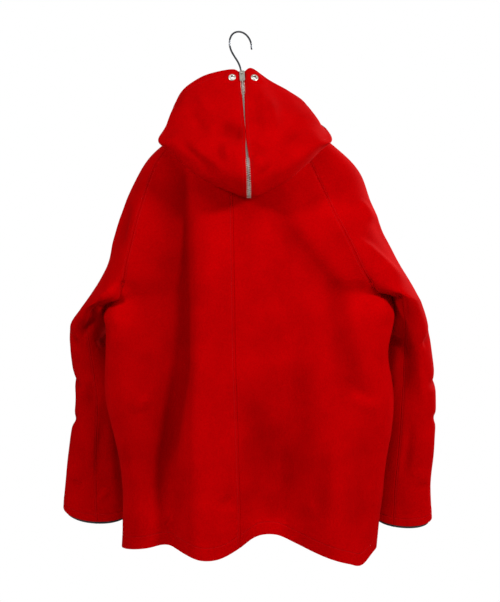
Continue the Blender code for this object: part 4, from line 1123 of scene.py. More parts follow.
def end_finish(made, settings):
    """Give a material its one shader, whose plain values are set on its own sockets."""
    shader = add_node(made.node_tree, "BsdfPrincipled", settings)
    add_node(made.node_tree, "OutputMaterial", {"Surface": shader})
    return made


MIX = {"data_type": "RGBA", "blend_type": "MIX"}
MULTIPLY = {"data_type": "RGBA", "blend_type": "MULTIPLY"}
FACTOR, FIRST, SECOND, MIXED = 0, 6, 7, 2  # a colour mix's inputs and its output
WAVES_TO_THREADS = 6.28  # a wave is 314 mm by its texture's scale, which this makes two threads
THREAD_PLY = 0.9  # millimetres
SEAM_SHADE_PER_MM = -0.5  # painted shade: how much darker one millimetre of seam groove makes the colour
FOLD_SHADE_STRENGTH = 0.85  # painted shade in the deepest fold


def melton():
    """Melton: wool woven, then fulled and shorn until its weave is felted over.
    The eye sees a matt deep red with short fibres that catch the light at the edges of folds,
    and faint cloudiness from uneven felting. Shade is painted darker along the seam grooves and deep in the
    folds."""
    cloth = bpy.context.scene.coat_cloth
    made, tree, place = begin_finish("melton_wool")
    # Uneven felting in clouds of 20 to 60 mm, tufts of felted fibre, and fibres, which are 0.03 mm
    # thick and drawn coarser.
    clouds, tufts, fibres = (
        add_node(
            tree,
            "TexNoise",
            {"Scale": 1000.0 / size_mm, "Detail": detail, "Roughness": rough, "Vector": place},
        )
        for size_mm, detail, rough in ((60.0, 3.0, 0.55), (3.2, 3.0, 0.6), (1.1, 2.0, 0.6))
    )
    shades = [(0.3, toned(cloth.colour, 0.87)), (0.5, cloth.colour), (0.7, toned(cloth.colour, 1.11))]
    base = add_node(tree, "ValToRGB", {"Fac": clouds, "stops": shades})
    shades = [(0.34, toned(cloth.colour, 0.73)), (0.66, toned(cloth.colour, 1.27))]
    tufted = add_node(tree, "ValToRGB", {"Fac": tufts, "stops": shades})
    colour = add_node(tree, "Mix", {**MIX, FACTOR: 0.25, FIRST: base, SECOND: tufted}, MIXED)
    fine = add_node(tree, "ValToRGB", {"Fac": fibres, "stops": [(0.3, "#B8B8B8"), (0.7, "#FFFFFF")]})
    colour = add_node(tree, "Mix", {**MULTIPLY, FACTOR: 0.2, FIRST: colour, SECOND: fine}, MIXED)
    # Painted shade: the colour is made darker along the seam grooves and deep in the folds, by how deep
    # they are.
    pressed = add_node(tree, "Attribute", {"attribute_name": "pressed"}, "Fac")
    painted_seam_shade = add_node(tree, "Math", {"operation": "MULTIPLY", 0: pressed, 1: SEAM_SHADE_PER_MM})
    painted_seam_shade = add_node(tree, "Clamp", {"Value": painted_seam_shade})
    dark = {**MULTIPLY, FACTOR: painted_seam_shade, FIRST: colour, SECOND: linear("#A89898")}
    colour = add_node(tree, "Mix", dark, MIXED)
    # painted shade deep in the folds
    hollow = add_node(tree, "Attribute", {"attribute_name": "hollow"}, "Fac")
    hollow = add_node(tree, "Math", {"operation": "MULTIPLY", 0: hollow, 1: FOLD_SHADE_STRENGTH})
    dark = {**MULTIPLY, FACTOR: hollow, FIRST: colour, SECOND: linear("#B8ACAC")}
    colour = add_node(tree, "Mix", dark, MIXED)
    height = add_node(tree, "Math", {"operation": "MULTIPLY_ADD", 0: tufts, 1: 0.65, 2: fibres})
    nap = add_node(tree, "Bump", {"Strength": 0.6, "Distance": cloth.nap_depth * MM, "Height": height})
    return end_finish(
        made,
        {
            "Base Color": colour,
            "Roughness": 0.95,
            "Sheen Weight": 0.05,
            "Sheen Roughness": 0.45,
            "Sheen Tint": linear("#FF2010"),
            "Specular IOR Level": 0.04,
            "Specular Tint": linear("#FF5040"),
            "Normal": nap,
        },
    )


def plain_weave(name, colour, thread_mm, roughness):
    """A flat woven band or lining: fine even threads, matt, with a little dust in its hollows."""
    made, tree, place = begin_finish(name)
    scale = 1000.0 / thread_mm / WAVES_TO_THREADS
    warp, weft = (
        add_node(
            tree,
            "TexWave",
            {"wave_type": "BANDS", "bands_direction": way, "Scale": scale, "Vector": place},
            "Fac",
        )
        for way in ("X", "Z")
    )
    threads = add_node(tree, "Math", {"operation": "MULTIPLY", 0: warp, 1: weft})
    dust = add_node(tree, "TexNoise", {"Scale": 1000.0 / 9.0, "Detail": 4.0, "Vector": place})
    share = add_node(tree, "Math", {"operation": "MULTIPLY_ADD", 0: dust, 1: 0.5, 2: threads})
    ends = {FIRST: toned(colour, 0.42), SECOND: linear(colour)}
    colour = add_node(tree, "Mix", {**MIX, FACTOR: share, **ends}, MIXED)
    relief = add_node(tree, "Bump", {"Distance": 0.15 * MM, "Height": threads})
    return end_finish(made, {"Base Color": colour, "Roughness": roughness, "Normal": relief})


def metal(name, colour, dull, scratch_mm):
    """A bare metal whose roughness varies with wear and whose surface has fine scratches."""
    made, tree, place = begin_finish(name)
    worn, scratches = (
        add_node(
            tree,
            "TexNoise",
            {"Scale": 1000.0 / size_mm, "Detail": detail, "Roughness": rough, "Vector": place},
        )
        for size_mm, detail, rough in ((6.0, 4.0, 0.6), (scratch_mm, 5.0, 0.7))
    )
    ends = {"From Min": 0.3, "From Max": 0.7, "To Min": dull[0], "To Max": dull[1]}
    roughness = add_node(tree, "MapRange", {**ends, "Value": worn})
    wear = add_node(tree, "ValToRGB", {"Fac": scratches, "stops": [(0.35, "#8C8884"), (0.65, "#FFFFFF")]})
    mix = {**MULTIPLY, FACTOR: 0.35, FIRST: linear(colour), SECOND: wear}
    relief = add_node(tree, "Bump", {"Distance": 0.02 * MM, "Height": scratches})
    return end_finish(
        made,
        {
            "Base Color": add_node(tree, "Mix", mix, MIXED),
            "Metallic": 1.0,
            "Roughness": roughness,
            "Normal": relief,
        },
    )


def nickel():
    """Nickel plate on cast zinc: a warm pale grey, satin, duller where fingers rub it."""
    return metal("nickel_plate", bpy.context.scene.coat_trims.metal_colour, (0.24, 0.42), 0.7)


def steel():
    """Drawn steel wire, chromed: a cool bright grey with long soft highlights."""
    return metal("chromed_wire", bpy.context.scene.coat_trims.wire_colour, (0.16, 0.26), 1.4)


def tape():
    """Zip tape: dyed polyester weave, darker and smoother than the wool, with its threads showing."""
    return plain_weave("tape_weave", bpy.context.scene.coat_trims.tape_colour, 0.9, 0.8)


def lining():
    """Lining: a dark plain weave with a weak silky shine, which shows as a dark edge in each cuff."""
    return plain_weave("lining_weave", bpy.context.scene.coat_cloth.lining_colour, 0.7, 0.55)


def thread():
    """Sewing thread: two twisted plies, dyed like the wool but shinier, so that a seam shows as a
    thin light line."""
    colour = bpy.context.scene.coat_trims.thread_colour
    made, tree, place = begin_finish("sewing_thread")
    scale = 1000.0 / THREAD_PLY / WAVES_TO_THREADS
    plies = {"bands_direction": "DIAGONAL", "Scale": scale, "Vector": place}
    plies = add_node(tree, "TexWave", plies, "Fac")
    ends = {FIRST: toned(colour, 0.68), SECOND: linear(colour)}
    colour = add_node(tree, "Mix", {**MIX, FACTOR: plies, **ends}, MIXED)
    relief = add_node(tree, "Bump", {"Distance": 0.1 * MM, "Height": plies})
    return end_finish(
        made,
        {"Base Color": colour, "Roughness": 0.75, "Specular IOR Level": 0.25, "Normal": relief},
    )


def beech():
    """Beech: a pale tan wood with fine straight grain along the arms and small dark flecks."""
    colour = bpy.context.scene.coat_trims.wood_colour
    made, tree, place = begin_finish("beech_wood")
    drawn = add_node(tree, "Mapping", {"Scale": (0.08, 1.0, 1.0), "Vector": place})
    grain = {"Scale": 1000.0 / 5.0, "Detail": 5.0, "Roughness": 0.6, "Vector": drawn}
    grain = add_node(tree, "TexNoise", grain)
    shades = [(0.35, toned(colour, 0.55)), (0.6, colour)]
    colour = add_node(tree, "ValToRGB", {"Fac": grain, "stops": shades})
    relief = add_node(tree, "Bump", {"Distance": 0.12 * MM, "Height": grain})
    return end_finish(made, {"Base Color": colour, "Roughness": 0.45, "Normal": relief})


FINISHES = {
    "melton": melton,
    "nickel": nickel,
    "steel": steel,
    "tape": tape,
    "lining": lining,
    "thread": thread,
    "hanger": beech,
}


@cache
def finish(kind):
    """A kind's material, made once."""
    return FINISHES[kind]()


# ---------------------------------------------------------------- modelling
# Hard pieces are modelled in millimetres about the origin and placed last.


def begin(kind, **values):
    """Add a primitive and open it for editing, all of it selected."""
    bpy.ops.object.select_all(action="DESELECT")
    getattr(bpy.ops.mesh, f"primitive_{kind}_add")(**values)
    bpy.ops.object.mode_set(mode="EDIT")
    bpy.ops.mesh.select_all(action="SELECT")
    return bpy.context.object


def begin_block(centre, size):
    """A block, open for editing."""
    part = begin("cube", size=1.0)
    bpy.ops.transform.resize(value=size)
    bpy.ops.transform.translate(value=centre)
    return part


def begin_line(points, **values):
    """A closed line through points, open for editing."""
    part = begin("circle", vertices=len(points), radius=1.0, **values)
    shape = bmesh.from_edit_mesh(part.data)
    for corner, point in zip(shape.verts, points):
        corner.co = point
    bmesh.update_edit_mesh(part.data)
    return part


def close():
    bpy.ops.object.mode_set(mode="OBJECT")


def close_outwards():
    """Turn all faces outwards and leave edit mode."""
    bpy.ops.mesh.normals_make_consistent(inside=False)
    close()


def choose(part, kind, test):
    """Select the faces or the edges of a part in edit mode that pass a test."""
    bpy.ops.mesh.select_mode(type=kind)
    bpy.ops.mesh.select_all(action="DESELECT")
    shape = bmesh.from_edit_mesh(part.data)
    for item in shape.faces if kind == "FACE" else shape.edges:
        if test(item):
            item.select_set(True)
    bmesh.update_edit_mesh(part.data)


def stands(edge):
    """Whether an edge runs along z."""
    start, end = (corner.co for corner in edge.verts)
    return abs(start.z - end.z) > 0.9 * (start - end).length


def lies_on_top(face):
    return face.normal.z > 0.9


def extruded(way):
    bpy.ops.mesh.extrude_region_move(TRANSFORM_OT_translate={"value": way})


def rounded(offset, segments=5):
    bpy.ops.mesh.bevel(offset=offset, segments=segments, affect="EDGES")


def worked(part, kind, **values):
    """Add a modifier to a part and apply it."""
    modifier = part.modifiers.new(kind.lower(), kind)
    for key, value in values.items():
        setattr(modifier, key, value)
    bpy.context.view_layer.objects.active = part
    bpy.ops.object.modifier_apply(modifier=modifier.name)


def eased(part, width, segments=2, **values):
    """Take the sharpness off a part's edges."""
    worked(part, "BEVEL", width=width, segments=segments, limit_method="ANGLE", **values)


def block(centre, size, corners=0.0, edges=0.0):
    """A plate or post: its standing corners rounded, then all its edges."""
    part = begin_block(centre, size)
    if corners:
        choose(part, "EDGE", stands)
        rounded(corners)
    close()
    if edges:
        eased(part, edges)
    return part


def cut_away(part, cutter):
    """Take a cutter's form out of a part."""
    worked(part, "BOOLEAN", object=cutter, operation="DIFFERENCE", solver="EXACT")
    bpy.data.objects.remove(cutter)


def outlined(points, width):
    """A bent strip: an outline of (y, z) points, filled and made width thick along x."""
    part = begin_line([(-width / 2, y, z) for y, z in points], fill_type="NGON")
    extruded((width, 0, 0))
    bpy.ops.mesh.select_all(action="SELECT")
    close_outwards()
    return part


def turned(profile, sides):
    """A closed profile of (radius, height) points, spun once round z."""
    part = begin_line([(radius, 0, height) for radius, height in profile])
    bpy.ops.mesh.spin(steps=sides, angle=2 * math.pi, center=(0, 0, 0), axis=(0, 0, 1))
    bpy.ops.mesh.select_all(action="SELECT")
    bpy.ops.mesh.remove_doubles(threshold=1e-4)
    close_outwards()
    return part


def only(*parts):
    bpy.ops.object.select_all(action="DESELECT")
    for part in parts:
        part.select_set(True)
    bpy.context.view_layer.objects.active = parts[0]


def moved(part, place):
    """Turn and shift a part by a matrix, in its mesh."""
    only(part)
    part.matrix_world = place
    bpy.ops.object.transform_apply(location=True, rotation=True, scale=True)
    return part


def assembled(name, parts, place, kind, stands_for, body=COAT_BODY, sharp=35.0):
    """Join the parts of one piece and put it at its place in the scene."""
    only(*parts)
    if len(parts) > 1:
        bpy.ops.object.join()
    piece = moved(parts[0], place @ Matrix.Scale(MM, 4))
    piece.name = piece.data.name = name
    piece.data.materials.clear()
    piece.data.materials.append(finish(kind))
    bpy.ops.object.shade_smooth_by_angle(angle=math.radians(sharp))
    claim(piece, body, kind, stands_for)
    return piece


def copies(name, part, points, bases, kind):
    """One mesh of a part's copies, each at a point and turned by a basis of three ways."""
    source = part.data

    def read(items, key, width=1, form=np.int32):
        values = np.empty(len(items) * width, form)
        items.foreach_get(key, values)
        return values

    local = read(source.vertices, "co", 3, np.float32).reshape(-1, 3)
    corners = read(source.loops, "vertex_index")
    starts = read(source.polygons, "loop_start")
    placed_at = np.einsum("vk,nkc->nvc", local, bases) + points[:, None]
    steps = np.arange(len(points), dtype=np.int32)[:, None]
    mesh = bpy.data.meshes.new(name)
    mesh.vertices.add(placed_at.shape[0] * placed_at.shape[1])
    mesh.vertices.foreach_set("co", ((placed_at - HOOK_TOP) * MM).astype(np.float32).ravel())
    mesh.loops.add(len(points) * len(corners))
    mesh.loops.foreach_set("vertex_index", (corners + steps * len(local)).astype(np.int32).ravel())
    mesh.polygons.add(len(points) * len(starts))
    mesh.polygons.foreach_set("loop_start", (starts + steps * len(corners)).astype(np.int32).ravel())
    bpy.data.objects.remove(part)
    mesh.update()
    finish_mesh(mesh, 40.0)
    mesh.materials.append(finish(kind))
    return mesh


# ---------------------------------------------------------------- zip

TOOTH_DEPTH = -0.9  # middle of the teeth, below the cloth's outer face
LIP_DROP = 0.6  # how much deeper they lie under the cloth's lips
# Sections: one tape's, from the middle and out of the cloth, the bridge's side, by y and z, and an
# eyelet's, by radius and height.
TAPE_SECTION = pairs("""
    1,0 1.4,0.45 2.6,0.45 3.3,-0.2 3.9,-2.2 4.8,-2.6 11,-2.6 11,-3.3 4.4,-3.3 3.3,-2.7 2.7,-1
    2.4,-0.5 1.4,-0.5
""")
BRIDGE_SIDE = pairs("""
    1.8,3 1.8,5.6 1.4,6.5 0.4,6.9 -7.4,6.9 -8.4,6.5 -8.8,5.6 -8.8,3 -7.2,3 -7.2,5.2 -6.8,5.7
    -0.2,5.7 0.2,5.2 0.2,3
""")
EYELET_SIDE = pairs("""
    3.8,-3.4 3.8,0.9 3.9,1.35 4.15,1.65 4.5,1.8 5.1,1.8 5.9,1.65 6.6,1.35 7.05,0.95 7.2,0.5 7,0.15
    4.1,0.15 4.1,-3.4 3.95,-3.5
""")
PULL_PIVOT = Vector((0.0, -1.6, 4.3))
PULL_TILT = 6.0


def tooth():
    """One tooth: a clamp round the tape's cord that narrows to a head past the middle."""
    part = begin_block((2.75, 0, 0), (2.3, 1.5, 2.6))
    choose(part, "FACE", lambda face: face.normal.x < -0.9)
    extruded((-0.8, 0, 0))
    bpy.ops.transform.resize(value=(1, 0.75, 0.8))
    extruded((-1.5, 0, 0))
    bpy.ops.mesh.select_all(action="SELECT")
    rounded(0.2, 1)
    close()
    return part


def tooth_places(pitch):
    """Where the teeth of both rows lie, each with its ways across, along and out."""
    middle, *ways, lips = zip_line()
    length = lengths(middle)
    stops = np.arange(pitch, length[-1], pitch / 2)
    side = np.where(np.arange(len(stops)) % 2, 1.0, -1.0)[:, None]
    along, across, out = (sampled(stops, length, way) for way in ways)
    depth = TOOTH_DEPTH - LIP_DROP * np.interp(stops, length, lips)
    points = sampled(stops, length, middle) + depth[:, None] * out
    return points, np.stack([side * across, -side * along, out], axis=1)


def tape_mesh():
    """Both tapes, each its section swept along the zip and closed at its ends."""
    middle, _, across, out, lips = zip_line()
    count = len(TAPE_SECTION)
    points, faces = [], []
    depth = TOOTH_DEPTH - LIP_DROP * lips
    for side in (1.0, -1.0):
        start = len(points) * ZIP_ROWS * count
        reach = side * TAPE_SECTION[None, :, :1] * across[:, None]
        rise = (TAPE_SECTION[None, :, 1:] + depth[:, None, None]) * out[:, None]
        points.append((middle[:, None] + reach + rise).reshape(-1, 3))
        ring = np.arange(count)
        sides = [tuple(start + ring[::-1]), tuple(start + (ZIP_ROWS - 1) * count + ring)]
        for i in range(ZIP_ROWS - 1):
            for j in range(count):
                a, b = start + i * count + j, start + i * count + (j + 1) % count
                sides.append((a, b, b + count, a + count))
        faces += sides if side < 0 else [face[::-1] for face in sides]
    mesh = bpy.data.meshes.new("zip_tapes")
    mesh.from_pydata(((np.concatenate(points) - HOOK_TOP) * MM).tolist(), [], faces)
    mesh.materials.append(finish("tape"))
    finish_mesh(mesh, 40.0)
    return mesh


def slider_parts():
    """The slider's plate with its rails, the nose between the rows, and the bridge for the tab."""

    def runs_level(edge):
        return not stands(edge) and abs(edge.verts[0].co.x - edge.verts[1].co.x) < 0.1

    plate = begin_block((0, -3.5, 2.3), (10.0, 13.0, 1.6))
    choose(plate, "EDGE", runs_level)
    bpy.ops.mesh.subdivide(number_cuts=2)
    choose(plate, "FACE", lambda face: face.normal.y > 0.9)
    bpy.ops.transform.resize(value=(0.8, 1, 1))
    choose(plate, "EDGE", lambda edge: stands(edge) and abs(edge.verts[0].co.y + 3.5) > 6.4)
    rounded(2.0)
    close()
    eased(plate, 0.45, 3)
    rails = [block((side * 4.1, -3.9, 0.95), (0.9, 10.4, 1.6), edges=0.25) for side in (1, -1)]
    nose = block((0, -7, -0.3), (3, 4, 4.4), corners=1.0, edges=0.2)
    bridge = outlined(BRIDGE_SIDE, 2.2)
    eased(bridge, 0.3)
    return [plate, *rails, nose, bridge]


def pull_part():
    """The tab: a rounded plate with a sunk face, a window for the bridge and a hole at its end."""
    tab = begin_block((0, 9.85, 0), (9.5, 21.5, 1.2))
    choose(tab, "EDGE", stands)
    rounded(2.2)
    choose(tab, "FACE", lies_on_top)
    bpy.ops.mesh.inset(thickness=0.9)
    extruded((0, 0, -0.2))
    close()
    cut_away(tab, block((0, 3.2, 0), (4.6, 4.6, 6.0), corners=0.8))
    hole = begin("cylinder", vertices=24, radius=1.2, depth=6.0)
    bpy.ops.transform.translate(value=(0, 16.5, 0))
    close()
    cut_away(tab, hole)
    eased(tab, 0.16)
    return tab


# ---------------------------------------------------------------- clasps and hanger

# Each clasp's places on the left and on the right front.
CLASP_PLACES = {
    1: (
        placed("""
            0.999368 0 0.035546 0.006345
            0.035004 0.174075 -0.98411 -0.091747
            -0.006188 0.984732 0.173965 -0.304813
        """),
        placed("""
            0.990999 0 -0.133872 -0.063144
            -0.130457 0.224426 -0.96572 -0.082299
            0.030044 0.974491 0.222405 -0.303944
        """),
    ),
    2: (
        placed("""
            0.999498 0 0.031678 0.005992
            0.031616 0.062813 -0.997524 -0.107444
            -0.00199 0.998025 0.062781 -0.449614
        """),
        placed("""
            0.998569 0 -0.053486 -0.062325
            -0.053426 0.047459 -0.997443 -0.100887
            0.002538 0.998873 0.047391 -0.44924
        """),
    ),
    3: (
        placed("""
            0.990201 0 0.139652 0.007843
            0.139638 -0.014015 -0.990103 -0.110363
            0.001957 0.999902 -0.013877 -0.595336
        """),
        placed("""
            0.988266 0 -0.152744 -0.062034
            -0.152721 -0.01723 -0.988119 -0.097651
            -0.002632 0.999852 -0.017028 -0.595124
        """),
    ),
    4: (
        placed("""
            0.979951 0 0.199237 0.009696
            0.199192 -0.021215 -0.979731 -0.109558
            0.004227 0.999775 -0.020789 -0.740755
        """),
        placed("""
            0.990534 0 -0.137265 -0.063323
            -0.137248 -0.015675 -0.990413 -0.095523
            -0.002152 0.999877 -0.015527 -0.740162
        """),
    ),
}
HOOK_BAR, RING_LUG = Vector((-45.0, 0.0, 3.4)), Vector((0.0, 0.0, 3.4))
# The tongue from its side, by x and z, round its outside and back along its inside.
TONGUE_SIDE = pairs("""
    -10,1.6 -10.4,3.8 -11.6,5.2 -18,7.6 -31,8 -44,8.2 -47,7.6 -49.4,6.2 -50.4,4.6 -50.6,3.2
    -50.4,1.4 -49.8,0.2 -48.2,0.2 -48.7,1.8 -48.6,3.2 -48.2,4.6 -47,5.6 -44,6.4 -31,6.2 -18,5.8
    -14.6,4.4 -13.2,3 -13,1.6
""")
# The ring's corners: the share of the way from the hook's bar to the lug, and the place down.
RING_CORNERS = pairs("0,-8 0,8 0.15,10 0.85,8 1,5 1,-5 0.85,-8 0.15,-10")
RING_POINTS, RING_WIRE = 64, 1.6
RIVET_INSET = 3.4


def rivets(centre, size):
    """Four domed rivet heads near a plate's corners."""
    made = []
    for x in (-1, 1):
        for y in (-1, 1):
            spot = [centre[axis] + sign * (size[axis] / 2 - RIVET_INSET) for axis, sign in ((0, x), (1, y))]
            head = begin("cylinder", vertices=20, radius=1.7, depth=0.9)
            bpy.ops.transform.translate(value=(*spot, centre[2] + size[2] / 2))
            choose(head, "FACE", lies_on_top)
            bpy.ops.mesh.inset(thickness=0.6)
            bpy.ops.transform.translate(value=(0, 0, 0.3))
            close()
            made.append(head)
    return made


def clasp_plate(centre, size):
    return [block(centre, size, corners=3.0, edges=0.4), *rivets(centre, size)]


def hook_parts():
    """A riveted plate and the tongue that bends from it over the ring's bar."""
    tongue = outlined(TONGUE_SIDE[:, ::-1], 9.0)
    moved(tongue, Matrix(((0, 0, 1, 0), (1, 0, 0, 0), (0, 1, 0, 0), (0, 0, 0, 1))))
    eased(tongue, 0.35, angle_limit=math.radians(50))
    return [*clasp_plate((0.0, 0.0, 1.4), (32.0, 20.0, 1.8)), tongue]


def ring_loop(left, right):
    """The ring: a round wire through its corners, eased, in the ring plate's millimetres."""
    lug = (left.inverted() @ right) @ (RING_LUG * MM) / MM
    corners = []
    for share, down in RING_CORNERS:
        point = HOOK_BAR.lerp(Vector((lug.x, 0.0, lug.z)), share)
        corners.append((point.x, lug.y * share + down, point.z))
    closed = np.array([*corners, corners[0]])
    way = lengths(closed)
    line = sampled(np.linspace(0, way[-1], RING_POINTS, endpoint=False), way, closed)
    for _ in range(3):
        line = (np.roll(line, 1, axis=0) + 2 * line + np.roll(line, -1, axis=0)) / 4
    part = begin_line(line)
    close()
    bpy.ops.object.convert(target="CURVE")
    part.data.bevel_depth = RING_WIRE
    part.data.bevel_resolution = 4
    bpy.ops.object.convert(target="MESH")
    return moved(part, Matrix.Scale(1 / MM, 4) @ right.inverted() @ left @ Matrix.Scale(MM, 4))


def smoothed_copy(node, rounds):
    """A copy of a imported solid, welded and subdivided until its facets are gone, in millimetres."""
    source = bpy.data.objects[node]
    part = moved(new_object(node, source.data.copy()), source.matrix_world)
    bpy.ops.object.mode_set(mode="EDIT")
    bpy.ops.mesh.select_all(action="SELECT")
    bpy.ops.mesh.remove_doubles(threshold=1e-6)
    bpy.ops.mesh.tris_convert_to_quads(face_threshold=math.radians(25), shape_threshold=math.radians(60))
    close()
    worked(part, "SUBSURF", levels=rounds, render_levels=rounds)
    return moved(part, Matrix.Scale(1 / MM, 4))


# ---------------------------------------------------------------- linings and stitches

LINING_REACH = 48.0  # how far each lining goes up its sleeve
LINING_DEPTH = 5.5  # from the cloth's outer face
LINING_WALL = 1.2
LINING_SHOWS = 3.2  # how far its folded edge hangs below the cuff


def lining_mesh(side):
    """The dark lining inside a cuff, in the sleeve's two pieces, its folded edge a little below."""
    shape = bmesh.new()
    for piece in (f"sleeve_{side}_top", f"sleeve_{side}_under"):
        cloth = garment()[piece]
        rows = np.median(cloth["foot"], axis=1) < LINING_REACH
        points, normals = cloth["points"][rows], cloth["normals"][rows]
        hang = points[-1:] + LINING_SHOWS * unit(points[-1:] - points[-4:-3])
        points, normals = np.concatenate([points, hang]), np.concatenate([normals, normals[-1:]])
        outer = points - LINING_DEPTH * normals
        inner = outer - LINING_WALL * normals
        part = shell_mesh(piece, outer, inner, outward_turn(piece), ["foot"], "lining")
        shape.from_mesh(part)
        bpy.data.meshes.remove(part)
    mesh = bpy.data.meshes.new(f"cuff_lining_{side}")
    shape.to_mesh(mesh)
    shape.free()
    mesh.materials.append(finish("lining"))
    finish_mesh(mesh, 60.0)
    return mesh


NEAR_EDGE = 24  # rows or columns near an edge that a line of stitches can lie on
STITCH_LENGTH, STITCH_RADIUS = 2.6, 0.34


def stitch_line(cloth, edge, distance):
    """The line at a distance from one edge of a panel, and the normals along it."""
    grids = [cloth[edge], cloth["points"], cloth["normals"]]
    if edge in ("foot", "top"):
        grids = [np.swapaxes(grid, 0, 1) for grid in grids]
    if edge in ("foot", "last"):
        grids = [grid[:, ::-1] for grid in grids]
    away, points, normals = (grid[:, :NEAR_EDGE] for grid in grids)
    line = np.array([sampled(distance, *row) for row in zip(away, points)])
    return line, unit(np.array([sampled(distance, *row) for row in zip(away, normals)]))


def stitch_places(line, outs, pitch):
    """Even places along a line, each with its ways along, across and out."""
    length = lengths(line)
    stops = np.arange(pitch, length[-1] - pitch, pitch)
    along = unit(sampled(stops, length, np.gradient(line, axis=0)))
    across = unit(np.cross(unit(sampled(stops, length, outs)), along))
    return sampled(stops, length, line), np.stack([along, across, unit(np.cross(along, across))], axis=1)


def stitch():
    """One stitch: a short thread that dips into the cloth at both ends."""
    part = begin("uv_sphere", segments=6, ring_count=4, radius=STITCH_RADIUS)
    bpy.ops.transform.rotate(value=math.pi / 2, orient_axis="Y", center_override=(0, 0, 0))
    bpy.ops.transform.resize(value=(STITCH_LENGTH / (2 * STITCH_RADIUS), 1, 0.9))
    close()
    return part


def sewn_lines():
    """Every line of topstitching on the coat."""
    for name, (first, last, foot, top) in SEWN.items():
        cloth = garment()[name]
        for edge, places in (("first", first), ("last", last), ("foot", [foot]), ("top", top or [])):
            for place in places:
                if place != "open":
                    yield stitch_line(cloth, edge, place)
    for cloth in hoods().values():
        shows = cloth["place"][:, 0] > HOOD_SHOWS[0]
        line, outs = stitch_line(cloth, "first", HOOD_SEWN[0][1])
        yield line[shows], outs[shows]
        yield stitch_line(cloth, "foot", FACE_LINE)


# ---------------------------------------------------------------- operators

FLAT_SIZES = {
    # width, length and area of the cut, in metres
    "back_left": (0.30, 0.83, 0.194),
    "back_right": (0.32, 0.84, 0.22),
    "front_left": (0.33, 0.77, 0.212),
    "front_right": (0.35, 0.77, 0.228),
    "sleeve_left_top": (0.33, 0.76, 0.126),
    "sleeve_right_top": (0.33, 0.80, 0.165),
    "sleeve_left_under": (0.16, 0.42, 0.06),
    "sleeve_right_under": (0.15, 0.42, 0.054),
    "hood_left": (0.28, 0.4, 0.08),
    "hood_right": (0.28, 0.4, 0.08),
    "cuff_lining_left": (0.33, 0.05, 0.015),
    "cuff_lining_right": (0.33, 0.05, 0.015),
}


def declare_sheet(name):
    width, length, area = FLAT_SIZES[name]


class PanelsOperator(Operator):
    """Sew the four body panels and the four sleeve pieces"""

    bl_idname = "coat.panels"
    bl_label = "Body and sleeves"

    def execute(self, context):
        for name, cloth in garment().items():
            rims = ["foot"] + (["first"] if name.startswith("front") else [])
            draws = {edge: WALL / 2 if edge in rims else SEAM_GAP for edge in EDGES}
            mesh = sewn_mesh(name, cloth, np.full(cloth["first"].shape, WALL), draws, rims)
            piece = add_piece(f"cloth_{name}", mesh, slot="melton", stands_for=[name])
            declare_sheet(name)
        return {"FINISHED"}


class HoodOperator(Operator):
    """Sew the two halves of the hood, with an opening for each eyelet"""

    bl_idname = "coat.hood"
    bl_label = "Hood"

    def execute(self, context):
        for side, cloth in hoods().items():
            name, thick = f"hood_{side}", WALL + (LIP_WALL - WALL) * cloth["lip"]
            draws = {"foot": WALL / 2, "last": NECK_DRAW}
            mesh = sewn_mesh(name, cloth, thick, draws, ["foot", "first"])
            piece = add_piece(f"cloth_{name}", mesh, slot="melton", stands_for=[name])
            hole = begin("cylinder", vertices=48, radius=EYELET_HOLE, depth=16.0)
            close()
            cut_away(piece, moved(hole, EYELET_PLACES[side] @ Matrix.Scale(MM, 4)))
            declare_sheet(name)
        return {"FINISHED"}


class ZipOperator(Operator):
    """Weave the zip's tapes and set its two rows of teeth"""

    bl_idname = "coat.zip"
    bl_label = "Zip"

    def execute(self, context):
        add_piece("zip_tapes", tape_mesh(), slot="tape", stands_for=["zip_tape"])
        places = tooth_places(context.scene.coat_trims.tooth_pitch)
        mesh = copies("zip_teeth", tooth(), *places, "nickel")
        add_piece("zip_teeth", mesh, slot="nickel", stands_for=["zip_chain"])
        return {"FINISHED"}


class SliderOperator(Operator):
    """Model the zip's slider and its pull tab"""

    bl_idname = "coat.slider"
    bl_label = "Slider and pull tab"

    def execute(self, context):
        assembled("slider_body", slider_parts(), SLIDER_PLACE, "nickel", ["zip_slider"])
        tilt = Matrix.Rotation(math.radians(-PULL_TILT), 4, "X")
        place = SLIDER_PLACE @ Matrix.Translation(PULL_PIVOT * MM) @ tilt
        assembled("pull_tab_plate", [pull_part()], place, "nickel", ["zip_pull"], PULL_BODY)
        return {"FINISHED"}


class EyeletOperator(Operator):
    """Turn the two eyelets beside the zip"""

    bl_idname = "coat.eyelets"
    bl_label = "Eyelets"

    def execute(self, context):
        for side, place in EYELET_PLACES.items():
            part = turned(EYELET_SIDE, 48)
            assembled(f"eyelet_ring_{side}", [part], place, "nickel", [f"eyelet_{side}"])
        return {"FINISHED"}


class LiningOperator(Operator):
    """Sew the dark lining into each cuff"""

    bl_idname = "coat.linings"
    bl_label = "Cuff linings"

    def execute(self, context):
        for side in SIDES_OF_COAT:
            name = f"cuff_lining_{side}"
            piece = add_piece(f"lining_cloth_{side}", lining_mesh(side), slot="lining", stands_for=[name])
            declare_sheet(name)
        return {"FINISHED"}


class ClaspOperator(Operator):
    """Model the four hook and ring clasps of the front"""

    bl_idname = "coat.clasps"
    bl_label = "Clasps"

    def execute(self, context):
        for number, (left, right) in CLASP_PLACES.items():
            assembled(f"hook_{number}", hook_parts(), left, "nickel", [f"clasp_hook_{number}"])
            loop = ring_loop(left, right)
            plate = clasp_plate((-4.0, 0.0, 1.1), (24.0, 22.0, 1.8))
            lug = block(RING_LUG, (6.0, 20.0, 4.0), edges=0.8)
            assembled(f"ring_{number}", [*plate, lug, loop], right, "nickel", [f"clasp_ring_{number}"])
        return {"FINISHED"}


